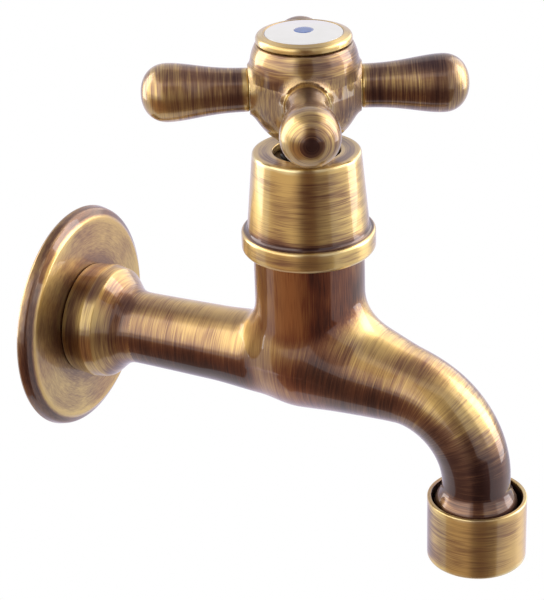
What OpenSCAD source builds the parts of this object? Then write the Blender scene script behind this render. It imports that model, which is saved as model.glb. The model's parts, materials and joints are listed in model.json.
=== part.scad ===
// Wall bib tap with a cross handle, a bell shroud and an aerator.
// The wall is the plane y = 0 and the tap stands out along -Y, with +Z up.
// The origin is where the inlet axis meets the wall.

/* [Overall] */
// Wall to the axis of the headwork and handle
head_reach = 68.9; // [58:0.1:83]
// Headwork axis to outlet axis
spout_reach = 44.7; // [43:0.1:54]
// Inlet axis up to the axis of the handle arms
arm_height = 72.5; // [71:0.1:90]
// Inlet axis down to the lower edge of the outlet sleeve
outlet_drop = 45.3; // [44:0.1:58]
// Tip to tip across two opposite arms
arm_span = 77.4; // [70:0.2:100]
// Turn of the nearest arm from straight ahead, towards -X
handle_angle = 62.3; // [0:0.1:90]

/* [Inlet and flange] */
// Major radius of the G1/2 inlet thread
inlet_thread_r = 10.4775; // [8:0.0005:12.6]
// Length of inlet thread behind the wall
inlet_thread_len = 12; // [9:0.5:20]
// Radius of the inlet's waterway
inlet_bore_r = 6.3; // [4.5:0.1:7]
// Radius of the wall flange
flange_r = 29.4; // [24:0.2:36]
// Depth of the wall flange
flange_depth = 4.0; // [3.5:0.1:7]
// Sheet thickness of the wall flange
flange_wall = 1.2; // [0.8:0.1:1.6]
// Rounding of the wall flange's rim
flange_edge = 2.8; // [1.6:0.1:3.2]
// Radius of the flared collar
collar_r = 14.9; // [13:0.1:18]
// Length of the collar's straight band
collar_band = 6.7; // [4:0.1:9]
// Length of the hollow sweep from collar to pipe
collar_sweep = 9.5; // [7:0.1:12]
// Radius of the pipe next to the collar
pipe_r = 9.3; // [8.6:0.1:10.5]

/* [Body] */
// Wall of the neck outside the headwork's thread
neck_wall = 3.1; // [2.2:0.1:4]
// Inlet axis up to the neck's top face
neck_height = 36.4; // [33:0.1:40]
// Radius of the body's round belly
belly_r = 14.7; // [14:0.1:15.6]
// Slope of the spout below level
spout_slope = 11.3; // [8:0.1:16]
// Height of the spout's line at the headwork axis
spout_rise = 3.8; // [2:0.1:5]
// Centreline radius of the spout's bend
bend_r = 23.8; // [19:0.1:29]
// Radius of the spout tube in the bend
spout_r = 9.0; // [8:0.1:10]
// Wall of the spout tube
spout_wall = 3.0; // [2:0.1:3.6]
// Rounding between neck and spout
throat_r = 9.0; // [6:0.1:11]

/* [Headwork and valve] */
// Major radius of the headwork's thread
head_thread_r = 10.4775; // [9.8:0.0005:12.6]
// Radius of the seat's opening
seat_r = 4.8; // [4:0.1:5.6]
// Height of the valve seat over the inlet axis
seat_height = 9.0; // [8:0.1:11]
// Radius of the rubber valve washer
washer_r = 7.6; // [6.6:0.1:8]
// Thickness of the rubber valve washer
washer_t = 4.0; // [3:0.1:5]
// Lift of the valve carrier from shut to open
valve_lift = 5.0; // [4:0.1:6]
// Width across the flats of the carrier's hexagon
carrier_flats = 13.0; // [12:0.1:14.5]
// Length of the carrier's hexagon
carrier_len = 17.7; // [14:0.1:20]
// Radius of the spindle's stem
spindle_r = 5.0; // [4.1:0.1:6]
// Radius of the spindle's lifting thread
lift_thread_r = 4.4; // [3.6:0.1:5.2]
// Width across the flats of the headwork's spanner hexagon
spanner_flats = 21.0; // [19:0.1:21.5]
// Radius of the headwork's upper barrel
barrel_r = 9.0; // [8.2:0.1:10.5]

/* [Shroud] */
// Height of the bell shroud
shroud_h = 25.5; // [23:0.1:28]
// How far the shroud's bead laps down over the neck
shroud_lap = 5.1; // [3.5:0.1:7]
// How far the bead stands out from the neck
bead_out = 2.8; // [2:0.1:3.5]
// How far the bell's foot stands out from the neck
foot_out = 1.35; // [0.8:0.05:2]
// How much the bell narrows from foot to shoulder
bell_taper = 1.8; // [0.8:0.05:2.4]
// Radius of the opening in the shroud's top
opening_r = 8.2; // [7.6:0.1:9]

/* [Handle] */
// Radius of the hub's drum
hub_r = 12.9; // [12:0.1:15.5]
// Height of the hub's top above the arm axis
hub_rise = 11.3; // [10:0.1:13.4]
// Wall of the hub's neck round the splined bush
hub_neck_wall = 1.15; // [0.8:0.05:1.6]
// Radius of the arms at their widest
arm_r = 6.95; // [5.8:0.05:8.3]
// Radius of the arms at their roots
arm_root_r = 5.2; // [4.5:0.05:6]
// Radius of the hub's boss where an arm starts
boss_r = 5.6; // [5.2:0.1:6.8]
// Radius of the brass ring round the button
bezel_r = 11.4; // [10.5:0.1:12.5]
// Height of the brass ring
bezel_h = 2.4; // [2:0.1:3]
// Radius of the porcelain button
disc_r = 9.2; // [7.7:0.1:10]
// Radius of the cold mark on the button
mark_r = 2.3; // [1.5:0.1:4]

/* [Outlet] */
// Radius of the outlet sleeve
sleeve_r = 12.35; // [11.8:0.05:14.9]
// Height of the outlet sleeve
sleeve_h = 17.0; // [15:0.1:20]
// Wall of the sleeve at its upper edge
sleeve_wall = 1.0; // [0.8:0.1:1.4]
// Radius of the opening in the sleeve's lower lip
mouth_r = 9.6; // [8.6:0.1:10]
// Number of bores in the jet plate's outer ring
jet_count = 14; // [8:1:18]

/* [Fits] */
// Radial clearance of turning and sliding fits
run_clear = 0.05; // [0.02:0.01:0.1]
// Radial clearance of screwed and pressed fits
fit_clear = 0.03; // [0.02:0.01:0.1]
// Gap left between faces that are pressed together
face_gap = 0.05; // [0.02:0.01:0.1]

/* [Hidden] */
$fn = 96;

// Overshoot of a cut past the face that it leaves
cut = 0.5;
// Steps in a curve of an outline
steps = 8;
// Width across the corners over width across the flats
corner = 1 / cos(30);

// Colours
antique_brass = [0.55, 0.41, 0.22];
plain_brass = [0.80, 0.66, 0.36];
stainless = [0.75, 0.76, 0.78];
rubber_black = [0.10, 0.10, 0.11];
fibre_red = [0.50, 0.20, 0.14];
plastic_white = [0.90, 0.90, 0.88];
porcelain = [0.96, 0.95, 0.93];
cold_blue = [0.10, 0.22, 0.55];

// Body
neck_r = head_thread_r + fit_clear + neck_wall;
foot_r = neck_r + foot_out;
shoulder_r = foot_r - bell_taper;
pipe_end_r = pipe_r + 0.3;
swell_r = belly_r - spout_rise - 0.1;
swell_len = 15;
swell_start = head_reach - 24;
collar_back_r = collar_r - 0.8;
collar_swell = 0.6;
collar_edge = 1.6;
collar_turn = 70;
thread_chamfer = 1.0;
thread_front = 1.0;
thread_relief = 0.6;

// Spout line, in the plane x = 0: straight from the headwork axis, then one bend down to the outlet
straight_len = (spout_reach - bend_r * (1 - sin(spout_slope))) / cos(spout_slope);
bend_y = -(head_reach + spout_reach) + bend_r;
bend_z = spout_rise - straight_len * sin(spout_slope) - bend_r * cos(spout_slope);
spout_bore_r = spout_r - spout_wall;
// The spout's cone leaves the belly's ball just inside the circle where it would touch it
spout_taper = asin((belly_r - spout_r) / straight_len);
root_sink = 0.05;
root_s = belly_r * sin(spout_taper);
root_r = belly_r * cos(spout_taper) - root_sink;
// Upper edge of the spout's cone, as a point and its slope, and the arc that rounds it into the neck
edge_slope = spout_slope + atan((root_r - spout_r) / (straight_len - root_s));
edge_y = root_s * cos(spout_slope) + root_r * sin(spout_slope);
edge_z = spout_rise - root_s * sin(spout_slope) + root_r * cos(spout_slope);
throat_sink = 0.2;
throat_tube_r = spout_r;
throat_y = neck_r + throat_r - throat_sink;
throat_z = edge_z + (throat_r - throat_sink - (throat_y - edge_y) * sin(edge_slope)) / cos(edge_slope);

// Outlet: heights run down from the sleeve's upper edge
sleeve_z = sleeve_h - outlet_drop;
sleeve_in_r = sleeve_r - sleeve_wall;
stem_end_r = spout_r - 0.5;
stem_flare_r = sleeve_in_r - 0.85;
flare_h = 3.0;
outlet_thread_r = sleeve_in_r - 0.3;
outlet_thread_top = sleeve_z - 4.0;
outlet_thread_len = 3.6;
outlet_end = outlet_thread_top - outlet_thread_len;
insert_r = outlet_thread_r - 0.5;
socket_r = outlet_thread_r - 2.4;
lip_t = 1.0;
sleeve_edge = 0.5;
gasket_t = 1.5;
filter_t = 0.5;
jet_t = 1.5;
mesh_t = 0.5;
gasket_z = outlet_end - face_gap - gasket_t;
filter_z = gasket_z - face_gap - filter_t;
jet_z = filter_z - face_gap - jet_t;
cage_z = lip_t - outlet_drop + face_gap;
cage_h = jet_z - face_gap - cage_z;
cage_wall = 1.3;
cage_rib = 1.0;
filter_pitch = 2.2;
filter_hole_r = 0.75;
filter_rings = 4;
mesh_pitch = 1.9;
mesh_hole_r = 0.7;
mesh_rings = 5;
jet_r = 0.65;
air_slot_w = 3;
air_slot_h = 0.9;

// Valve: heights run up from the seat
end_gap = 0.5;
seat_lip = 1.0;
seat_ring_r = seat_r + 1.8;
chamber_r = head_thread_r - 1.0;
chamber_end = 6;
exit_slope = 50.7;
exit_rise = 3.5;
exit_r = 4.2;
exit_back = 6;
exit_len = 15.5;
washer_z = seat_height + face_gap;
washer_top = washer_z + washer_t;
cup_r = washer_r + 0.8;
cup_lap = 2.2;
cup_web = 2.2;
carrier_z = washer_top + cup_web;
carrier_top = carrier_z + carrier_len;
carrier_thread_len = 13.0;
washer_screw_r = 2.0;
washer_screw_head_r = 3.5;
washer_screw_head_h = 1.8;
washer_screw_len = 8.5;
screw_slot = 1.0;

// Headwork: heights run up from the carrier and from the neck's top face
guide_z = carrier_z + valve_lift + end_gap;
guide_top = carrier_top + valve_lift + end_gap;
spindle_collar_r = carrier_flats / 2 - 0.1;
spindle_collar_z = guide_top + 0.7;
spindle_collar_h = 3.0;
glide_z = spindle_collar_z + spindle_collar_h + face_gap;
glide_t = 0.8;
shoulder_z = glide_z + glide_t + face_gap;
head_gasket_t = 1.0;
head_flange_z = neck_height + head_gasket_t + 2 * face_gap;
head_flange_r = neck_r - 1.1;
head_flange_t = 1.5;
spanner_z = head_flange_z + head_flange_t;
spanner_h = 6.0;
shroud_z = neck_height - shroud_lap;
shroud_top = shroud_z + shroud_h;
shroud_web = 1.8;
shroud_ring_h = 6.0;
shroud_cone_h = 3.5;
bead_round = 1.3;
bell_edge = 0.6;
bell_flare = 1.3;
barrel_top = shroud_top - shroud_web - 0.2;

// Spindle
o_ring_wire_r = 0.62;
o_ring_groove_r = spindle_r - 1.3;
o_ring_mid_r = o_ring_groove_r + 0.02 + o_ring_wire_r;
o_ring_groove_h = 1.8;
o_ring_1_z = shoulder_z + 2.6;
o_ring_2_z = o_ring_1_z + 3.6;
circlip_z = barrel_top + 0.3;
circlip_t = 0.8;
circlip_groove_r = spindle_r - 0.7;
circlip_r = spindle_r + 1.2;
circlip_gap = 2.4;
spline_z = circlip_z + circlip_t + 0.9;
spline_top = arm_height - 3.0;
spline_r = spindle_r - 1.0;
spline_depth = 0.4;
spline_teeth = 20;
lift_thread_z = carrier_top - carrier_thread_len + valve_lift + end_gap;

// Handle
hub_z = shroud_top - 0.3;
hub_top = arm_height + hub_rise;
hub_bowl_r = hub_r + 0.4;
bowl_blend = 30;
bowl_z = arm_height - 0.8;
shoulder_drop = 5.0;
bush_r = spindle_r + 0.2;
hub_neck_r = bush_r + hub_neck_wall;
hub_cove = 0.9;
bowl_start = asin((hub_neck_r + hub_cove) / hub_bowl_r);
bush_z = hub_z + 1.2;
bush_top = arm_height - 2.6;
recess_r = bezel_r - 2.9;
recess_z = arm_height + 5.8;
screw_r = 2.0;
screw_hole_r = screw_r + 0.3;
screw_head_r = 3.6;
screw_head_h = 2.8;
screw_washer_t = 0.8;
screw_washer_gap = 0.8;
screw_tip_z = spline_top - 9.5;
socket_flats = 3.0;
socket_depth = 1.6;
boss_start = hub_r - 4.4;
boss_end = hub_r + 0.3;
boss_flare = 2.2;
boss_chamfer = 0.3;
stud_r = 2.5;
stud_len = 5.6;
arm_start = boss_end + face_gap;
arm_end = arm_span / 2;
arm_tip_len = 6.3;
arm_wide = arm_end - arm_tip_len;
tip_power = 2.2;
spigot_wall = 1.1;
spigot_h = 3.6;
bezel_seat = 0.6;
bezel_web = 0.4;
bezel_edge = 1.1;
bezel_step = 0.45;
disc_t = 1.7;
dome_h = 0.55;
mark_t = 0.6;

// Points of an arc round centre, from one angle to another
function arc(centre, r, from, to) =
    [for (i = [0:steps]) let (a = from + (to - from) * i / steps) centre + r * [cos(a), sin(a)]];

// Share of an S-shaped rise from 0 to 1, slow at first, with a level end
function swell(u) = u * u * (0.6 + 2.8 * u - 2.4 * u * u);

// Level at both ends, rising from 0 to 1
function ease(u) = u * u * (3 - 2 * u);

// Radius of a dome's sphere from its rise over a base circle
function dome_r(base, rise) = (base * base + rise * rise) / (2 * rise);

module on_head() { translate([0, -head_reach, 0]) children(); }
module on_outlet() { translate([0, -(head_reach + spout_reach), 0]) children(); }

// Turns +Z to -Y, so that heights count out from the wall
module from_wall() { rotate([90, 0, 0]) children(); }

// Lays X along -Y and Y along +Z, for rings in the plane x = 0
module in_profile_plane() { rotate([90, 0, -90]) children(); }

module rod(r, z0, z1) { translate([0, 0, z0]) cylinder(r = r, h = z1 - z0); }
module cone(r0, r1, z0, z1) { translate([0, 0, z0]) cylinder(r1 = r0, r2 = r1, h = z1 - z0); }
module turned(points) { rotate_extrude() polygon(points); }

module hexagon(flats, z0, z1) {
    translate([0, 0, z0]) cylinder(r = flats / 2 * corner, h = z1 - z0, $fn = 6);
}

module ring(r_out, r_in, z0, z1) {
    difference() {
        rod(r_out, z0, z1);
        rod(r_in, z0 - cut, z1 + cut);
    }
}

// Carries its children to the spout's line, with +Z along it from the headwork axis
module along_spout() {
    translate([0, -head_reach, spout_rise]) rotate([90 + spout_slope, 0, 0]) children();
}

module bend(r) {
    translate([0, bend_y, bend_z]) in_profile_plane()
        rotate_extrude(angle = 90 - spout_slope) translate([bend_r, 0]) circle(r);
}

// Threaded tail, its relief under the flange, collar and pipe, turned about the inlet axis
module inlet_blank() {
    band_end = flange_depth + collar_band;
    ridge_r = collar_r - collar_edge * (1 - cos(collar_turn));
    ridge_y = band_end + collar_edge * sin(collar_turn);
    relief_r = inlet_thread_r - thread_relief;
    from_wall() turned(concat(
        [[0, -inlet_thread_len], [inlet_thread_r - thread_chamfer, -inlet_thread_len],
            [inlet_thread_r, thread_chamfer - inlet_thread_len],
            [inlet_thread_r, thread_front], [relief_r, thread_front],
            [relief_r, flange_depth], [collar_back_r, flange_depth]],
        [for (i = [1:steps]) [collar_back_r + (collar_r - collar_back_r) * sin(90 * i / steps),
            flange_depth + collar_band * collar_swell * i / steps]],
        arc([collar_r - collar_edge, band_end], collar_edge, 0, collar_turn),
        [for (i = [1:steps]) let (u = i / steps) [pipe_r + (ridge_r - pipe_r) * pow(1 - u, 2),
            ridge_y + (collar_sweep - collar_edge) * u]],
        [[pipe_end_r, swell_start]],
        [for (i = [1:steps]) [pipe_end_r + (swell_r - pipe_end_r) * ease(i / steps),
            swell_start + swell_len * i / steps]],
        [[swell_r, head_reach], [0, head_reach]]));
}

// Rounds the inside corner between the neck and the top of the spout
module throat() {
    translate([0, -head_reach - throat_y, throat_z]) in_profile_plane() rotate([0, 0, 180])
        rotate_extrude(angle = 90 - edge_slope) translate([throat_r + throat_tube_r, 0])
            circle(throat_tube_r);
}

// Lower end of the spout, with the flare and the thread inside the sleeve
module spout_end_blank() {
    on_outlet() turned([[0, bend_z], [spout_r, bend_z], [stem_end_r, sleeve_z + 0.6],
        [stem_flare_r, sleeve_z + 0.6 - flare_h], [stem_flare_r, outlet_thread_top],
        [outlet_thread_r, outlet_thread_top], [outlet_thread_r, outlet_end], [0, outlet_end]]);
}

module waterways() {
    // Inlet, up to just past the headwork axis, and the opening of the seat above it
    from_wall() rod(inlet_bore_r, -inlet_thread_len - cut, head_reach + seat_r - 0.4);
    on_head() rod(seat_r, 0, seat_height + cut);
    // Chamber round the raised seat, then the thread for the headwork
    on_head() difference() {
        rod(chamber_r, seat_height - seat_lip, guide_z);
        rod(seat_ring_r, seat_height - seat_lip - cut, seat_height);
    }
    on_head() rod(head_thread_r + fit_clear, guide_z - 1, neck_height + cut);
    // Slanted way from the chamber into the spout
    translate([0, 0.2 - (head_reach + chamber_r), seat_height + exit_rise])
        rotate([90 + exit_slope, 0, 0]) rod(exit_r, -exit_back, exit_len);
    // Spout, bend and outlet
    along_spout() rod(spout_bore_r, chamber_r + chamber_end, straight_len);
    bend(spout_bore_r - 0.1);
    on_outlet() rod(spout_bore_r - 0.05, outlet_end - cut, bend_z);
    on_outlet() rod(socket_r, outlet_end - cut, outlet_thread_top + 1);
}

module tap_body() {
    color(antique_brass) difference() {
        union() {
            inlet_blank();
            on_head() translate([0, 0, spout_rise]) sphere(belly_r);
            on_head() rod(neck_r, spout_rise, neck_height);
            along_spout() cone(root_r, spout_r + 0.1, root_s, straight_len);
            throat();
            bend(spout_r);
            spout_end_blank();
        }
        waterways();
    }
}

// Pressed cover with a rolled edge, hollow towards the wall
module wall_flange() {
    top = flange_depth - face_gap;
    rim_top = top - flange_edge;
    color(antique_brass) from_wall() turned(concat(
        [[inlet_thread_r + 3 * face_gap, top - flange_wall], [inlet_thread_r + 3 * face_gap, top]],
        arc([flange_r - flange_edge, rim_top], flange_edge, 90, 0),
        [[flange_r, 0.3], [flange_r - 0.3, 0], [flange_r - flange_wall, 0]],
        arc([flange_r - flange_edge, rim_top], flange_edge - flange_wall, 0, 90)));
}

// Turned bell that screws onto the headwork's barrel, with its bead over the neck
module bell_shroud() {
    foot_z = neck_height + 1.2;
    bead_r = neck_r + bead_out;
    bore = neck_r + fit_clear;
    room = head_flange_r + 0.5;
    ring_r = barrel_r + fit_clear;
    web_z = shroud_top - shroud_web;
    ring_z = web_z - shroud_ring_h;
    crown = shroud_top - bell_edge;
    flare = foot_r - shoulder_r;
    color(antique_brass) on_head() turned(concat(
        [[bore, shroud_z]],
        arc([bead_r - bead_round, shroud_z + bead_round], bead_round, -90, 0),
        arc([bead_r - bead_round, foot_z - bell_edge - bead_round], bead_round, 0, 80),
        [for (i = [0:steps]) let (u = 1 - i / steps) [shoulder_r + flare * pow(u, bell_flare),
            crown - (crown - foot_z) * u]],
        arc([shoulder_r - bell_edge, crown], bell_edge, 0, 90),
        [[opening_r, shroud_top], [opening_r, web_z], [ring_r, web_z], [ring_r, ring_z],
            [room, ring_z - shroud_cone_h], [room, neck_height + face_gap],
            [bore, neck_height + face_gap]]));
}

module headwork_body() {
    color(plain_brass) on_head() difference() {
        union() {
            rod(head_thread_r, guide_z, head_flange_z);
            rod(head_flange_r, head_flange_z, spanner_z);
            hexagon(spanner_flats, spanner_z, spanner_z + spanner_h);
            rod(barrel_r, spanner_z + spanner_h, barrel_top);
        }
        hexagon(carrier_flats + 2 * run_clear, guide_z - cut, guide_top);
        rod(spindle_collar_r + 0.3, guide_top - 0.1, shoulder_z);
        rod(spindle_r + run_clear, shoulder_z - cut, barrel_top + cut);
    }
}

module headwork_gasket() {
    color(fibre_red) on_head() ring(head_flange_r, head_thread_r + fit_clear,
        neck_height + face_gap, head_flange_z - face_gap);
}

// Star outline of a splined shaft or hole
module spline_outline(tip_r) {
    polygon([for (i = [0:2 * spline_teeth - 1])
        let (r = tip_r - (i % 2) * spline_depth, a = 180 * i / spline_teeth) r * [cos(a), sin(a)]]);
}

module spindle() {
    color(plain_brass) on_head() difference() {
        union() {
            rod(lift_thread_r, lift_thread_z, spindle_collar_z);
            rod(spindle_collar_r, spindle_collar_z, spindle_collar_z + spindle_collar_h);
            rod(spindle_r, spindle_collar_z + spindle_collar_h, spline_z);
            translate([0, 0, spline_z]) linear_extrude(spline_top - spline_z) spline_outline(spline_r);
        }
        for (z = [o_ring_1_z, o_ring_2_z])
            ring(spindle_r + cut, o_ring_groove_r, z, z + o_ring_groove_h);
        ring(spindle_r + cut, circlip_groove_r, circlip_z - face_gap, circlip_z + circlip_t + face_gap);
        rod(screw_r + fit_clear, screw_tip_z - 1, spline_top + cut);
    }
}

module spindle_o_rings() {
    color(rubber_black) on_head() for (z = [o_ring_1_z, o_ring_2_z])
        translate([0, 0, z + o_ring_groove_h / 2]) rotate_extrude() translate([o_ring_mid_r, 0])
            circle(o_ring_wire_r);
}

module glide_washer() {
    color(plastic_white) on_head()
        ring(spindle_collar_r, spindle_r + run_clear, glide_z, glide_z + glide_t);
}

// Open ring that snaps into the spindle's upper groove
module spindle_circlip() {
    color(stainless) on_head() difference() {
        ring(circlip_r, circlip_groove_r + fit_clear, circlip_z, circlip_z + circlip_t);
        translate([-circlip_gap / 2, 0, circlip_z - cut])
            cube([circlip_gap, circlip_r + cut, circlip_t + 2 * cut]);
    }
}

// Hexagonal carrier with a cup for the washer and a threaded bore for the spindle
module valve_carrier() {
    color(plain_brass) on_head() difference() {
        union() {
            rod(cup_r, washer_top - cup_lap, carrier_z);
            hexagon(carrier_flats, carrier_z, carrier_top);
        }
        rod(washer_r + fit_clear, washer_top - cup_lap - cut, washer_top + face_gap);
        rod(washer_screw_r + fit_clear, washer_top, washer_z + washer_screw_len + face_gap);
        rod(lift_thread_r + run_clear, carrier_top - carrier_thread_len, carrier_top + cut);
    }
}

module valve_washer() {
    color(rubber_black) on_head() ring(washer_r, washer_screw_r + fit_clear, washer_z, washer_top);
}

module washer_screw() {
    head_z = washer_z - face_gap - washer_screw_head_h;
    color(stainless) on_head() difference() {
        union() {
            rod(washer_screw_head_r, head_z, washer_z - face_gap);
            rod(washer_screw_r, washer_z - face_gap, washer_z + washer_screw_len);
        }
        translate([-screw_slot / 2, -washer_screw_head_r - cut, head_z - cut])
            cube([screw_slot, 2 * (washer_screw_head_r + cut), cut + washer_screw_head_h * 0.5]);
    }
}

// Lays +Z out along one arm, a number of quarter turns on from the nearest arm
module along_arm(quarter) {
    on_head() translate([0, 0, arm_height]) rotate([90, 0, 90 * quarter - handle_angle]) children();
}

// Root for one arm: a hollow flare with a small chamfer at its end
module boss() {
    foot = boss_end - boss_chamfer;
    turned(concat([[0, boss_start]],
        [for (i = [0:steps]) let (u = i / steps) [boss_r + boss_flare * pow(1 - u, 2),
            boss_start + (foot - boss_start) * u]],
        [[boss_r - boss_chamfer, boss_end], [0, boss_end]]));
}

module handle_hub() {
    color(antique_brass) difference() {
        union() {
            on_head() turned(concat(
                [[0, hub_z], [hub_neck_r, hub_z],
                    [hub_neck_r, bowl_z - hub_bowl_r * cos(bowl_start) - hub_cove]],
                arc([0, bowl_z], hub_bowl_r, bowl_start - 90, acos(hub_r / hub_bowl_r) - bowl_blend),
                [for (i = [0:steps]) let (a = 90 * i / steps)
                    [bezel_r + (hub_r - bezel_r) * cos(a), hub_top - shoulder_drop * (1 - sin(a))]],
                [[0, hub_top]]));
            for (quarter = [0:3]) along_arm(quarter) boss();
        }
        on_head() {
            rod(bush_r + fit_clear, hub_z - cut, bush_top + face_gap);
            rod(screw_hole_r, hub_z, hub_top);
            rod(recess_r, recess_z, hub_top + cut);
        }
        for (quarter = [0:3]) along_arm(quarter)
            rod(stud_r + fit_clear, boss_end - stud_len - end_gap, boss_end + cut);
    }
}

module spline_bush() {
    color(plastic_white) on_head() difference() {
        rod(bush_r, bush_z, bush_top);
        translate([0, 0, bush_z - cut]) linear_extrude(bush_top - bush_z + 2 * cut)
            spline_outline(spline_r + run_clear);
    }
}

// One arm: threaded stud, a swelling grip and a round end
module arm(quarter) {
    color(antique_brass) along_arm(quarter) turned(concat(
        [[0, boss_end - stud_len], [stud_r, boss_end - stud_len], [stud_r, arm_start],
            [arm_root_r - boss_chamfer, arm_start]],
        [for (i = [0:2 * steps]) let (u = i / (2 * steps)) [arm_root_r + (arm_r - arm_root_r) * swell(u),
            arm_start + boss_chamfer + (arm_wide - arm_start - boss_chamfer) * u]],
        [for (i = [1:2 * steps]) let (a = 90 * i / (2 * steps)) [arm_r * pow(cos(a), 2 / tip_power),
            arm_wide + arm_tip_len * pow(sin(a), 2 / tip_power)]]));
}

module arm_front() { arm(0); }
module arm_right() { arm(1); }
module arm_back() { arm(2); }
module arm_left() { arm(3); }

module handle_screw() {
    head_z = recess_z + screw_washer_t + 2 * face_gap;
    color(stainless) on_head() difference() {
        union() {
            rod(screw_r, screw_tip_z, head_z);
            rod(screw_head_r, head_z, head_z + screw_head_h);
        }
        hexagon(socket_flats, head_z + screw_head_h - socket_depth, head_z + screw_head_h + cut);
    }
}

module screw_washer() {
    color(stainless) on_head() difference() {
        ring(screw_head_r + 0.6, screw_hole_r, recess_z + face_gap,
            recess_z + face_gap + screw_washer_t);
        translate([-screw_washer_gap / 2, 0, recess_z])
            cube([screw_washer_gap, screw_head_r + 1, 2 * screw_washer_t]);
    }
}

// Brass ring with a spigot that screws into the hub, and a seat for the porcelain
module index_bezel() {
    base = hub_top + face_gap;
    top = base + bezel_h;
    brim = disc_r + fit_clear;
    crown = top - bezel_step;
    spigot_r = recess_r - fit_clear;
    color(antique_brass) on_head() turned(concat(
        [[0, base - bezel_web], [spigot_r - spigot_wall, base - bezel_web],
            [spigot_r - spigot_wall, base - spigot_h], [spigot_r, base - spigot_h],
            [spigot_r, base], [bezel_r, base]],
        arc([bezel_r - bezel_edge, crown - bezel_edge], bezel_edge, 0, 70),
        [[brim, top], [brim, base + bezel_seat], [0, base + bezel_seat]]));
}

// Glazed button with a slight dome and a shallow pit for the mark
module index_disc() {
    base = hub_top + bezel_seat + 2 * face_gap;
    top = base + disc_t + dome_h;
    ball_r = dome_r(disc_r, dome_h);
    pit_r = mark_r + fit_clear;
    pit_z = top - mark_t - face_gap;
    color(porcelain) on_head() turned(concat([[0, base], [disc_r, base]],
        [for (i = [0:steps]) let (r = disc_r + (pit_r - disc_r) * i / steps)
            [r, top - ball_r + sqrt(ball_r * ball_r - r * r)]],
        [[pit_r, pit_z], [0, pit_z]]));
}

module index_mark() {
    top = hub_top + bezel_seat + 2 * face_gap + disc_t + dome_h;
    color(cold_blue) on_head() rod(mark_r, top - mark_t, top);
}

// Threaded housing, open at the top round the spout, with a lip that holds the insert
module outlet_sleeve() {
    low = -outlet_drop;
    room = insert_r + 0.2;
    thread = outlet_thread_r + fit_clear;
    color(antique_brass) on_outlet() turned(concat(
        [[mouth_r, low]],
        arc([sleeve_r - sleeve_edge, low + sleeve_edge], sleeve_edge, -90, 0),
        arc([sleeve_r - 0.3, sleeve_z - 0.3], 0.3, 0, 90),
        [[sleeve_in_r, sleeve_z], [sleeve_in_r, outlet_thread_top],
            [thread, outlet_thread_top - 0.3], [thread, outlet_end], [room, outlet_end - 0.3],
            [room, low + lip_t], [mouth_r, low + lip_t]]));
}

module aerator_gasket() {
    color(rubber_black) on_outlet() ring(insert_r, socket_r - 0.6, gasket_z, gasket_z + gasket_t);
}

// Rows of holes on a triangular grid, within a circle
module grid_holes(pitch, hole_r, rings, z0, z1) {
    for (i = [-rings:rings], j = [-rings:rings])
        let (x = (i + j / 2) * pitch, y = j * sin(60) * pitch)
            if (abs(i + j) <= rings && norm([x, y]) + hole_r < insert_r - cage_wall)
                translate([x, y, 0]) rod(hole_r, z0, z1);
}

module aerator_filter() {
    color(stainless) on_outlet() difference() {
        rod(insert_r, filter_z, filter_z + filter_t);
        grid_holes(filter_pitch, filter_hole_r, filter_rings, filter_z - cut, filter_z + filter_t + cut);
    }
}

// Bores of the jet plate, evenly round one circle
module jet_bores(count, circle_r) {
    for (i = [0:count - 1]) rotate([0, 0, 360 * i / count]) translate([circle_r, 0, 0])
        rod(jet_r, jet_z - cut, jet_z + jet_t + cut);
}

// Plate with two rings of fine bores
module jet_plate() {
    color(plastic_white) on_outlet() difference() {
        rod(insert_r, jet_z, jet_z + jet_t);
        jet_bores(jet_count, insert_r * 0.66);
        jet_bores(jet_count / 2, insert_r * 0.36);
    }
}

// Insert with a cross inside, and four slots that let air in
module aerator_cage() {
    inner = insert_r - cage_wall;
    mesh_top = cage_z + mesh_t + 0.6;
    color(plastic_white) on_outlet() difference() {
        union() {
            ring(insert_r, inner, cage_z, cage_z + cage_h);
            intersection() {
                rod(inner + 0.2, mesh_top, cage_z + cage_h);
                union() for (turn = [0, 90]) rotate([0, 0, turn])
                    translate([-insert_r, -cage_rib / 2, mesh_top])
                        cube([2 * insert_r, cage_rib, cage_h]);
            }
        }
        for (turn = [45:90:315]) rotate([0, 0, turn])
            translate([inner - 1, -air_slot_w / 2, cage_z + cage_h - air_slot_h - 0.5])
                cube([cage_wall + 2, air_slot_w, air_slot_h]);
    }
}

module outlet_mesh() {
    mesh_r = insert_r - cage_wall - fit_clear;
    color(stainless) on_outlet() difference() {
        rod(mesh_r, cage_z + 0.1, cage_z + 0.1 + mesh_t);
        grid_holes(mesh_pitch, mesh_hole_r, mesh_rings, cage_z - cut, cage_z + mesh_t + cut);
    }
}

tap_body();
wall_flange();
bell_shroud();
headwork_body();
headwork_gasket();
spindle();
spindle_o_rings();
glide_washer();
spindle_circlip();
valve_carrier();
valve_washer();
washer_screw();
handle_hub();
spline_bush();
arm_front();
arm_right();
arm_back();
arm_left();
handle_screw();
screw_washer();
index_bezel();
index_disc();
index_mark();
outlet_sleeve();
aerator_gasket();
aerator_filter();
jet_plate();
aerator_cage();
outlet_mesh();
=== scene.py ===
# %% [markdown]
# A wall bib tap in antique brass.
#
# The CAD model gives every size and joint. This lesson replaces its plain brass
# pieces with fine surfaces worked out with numpy, and gives every piece a finish
# built from shader nodes. Lengths are written in millimetres, as on a drawing, and
# become metres only when a mesh is made.

# %% Load the CAD frame and keep its box
import json
import math

import bpy
import numpy as np
from mathutils import Matrix, Vector


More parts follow.
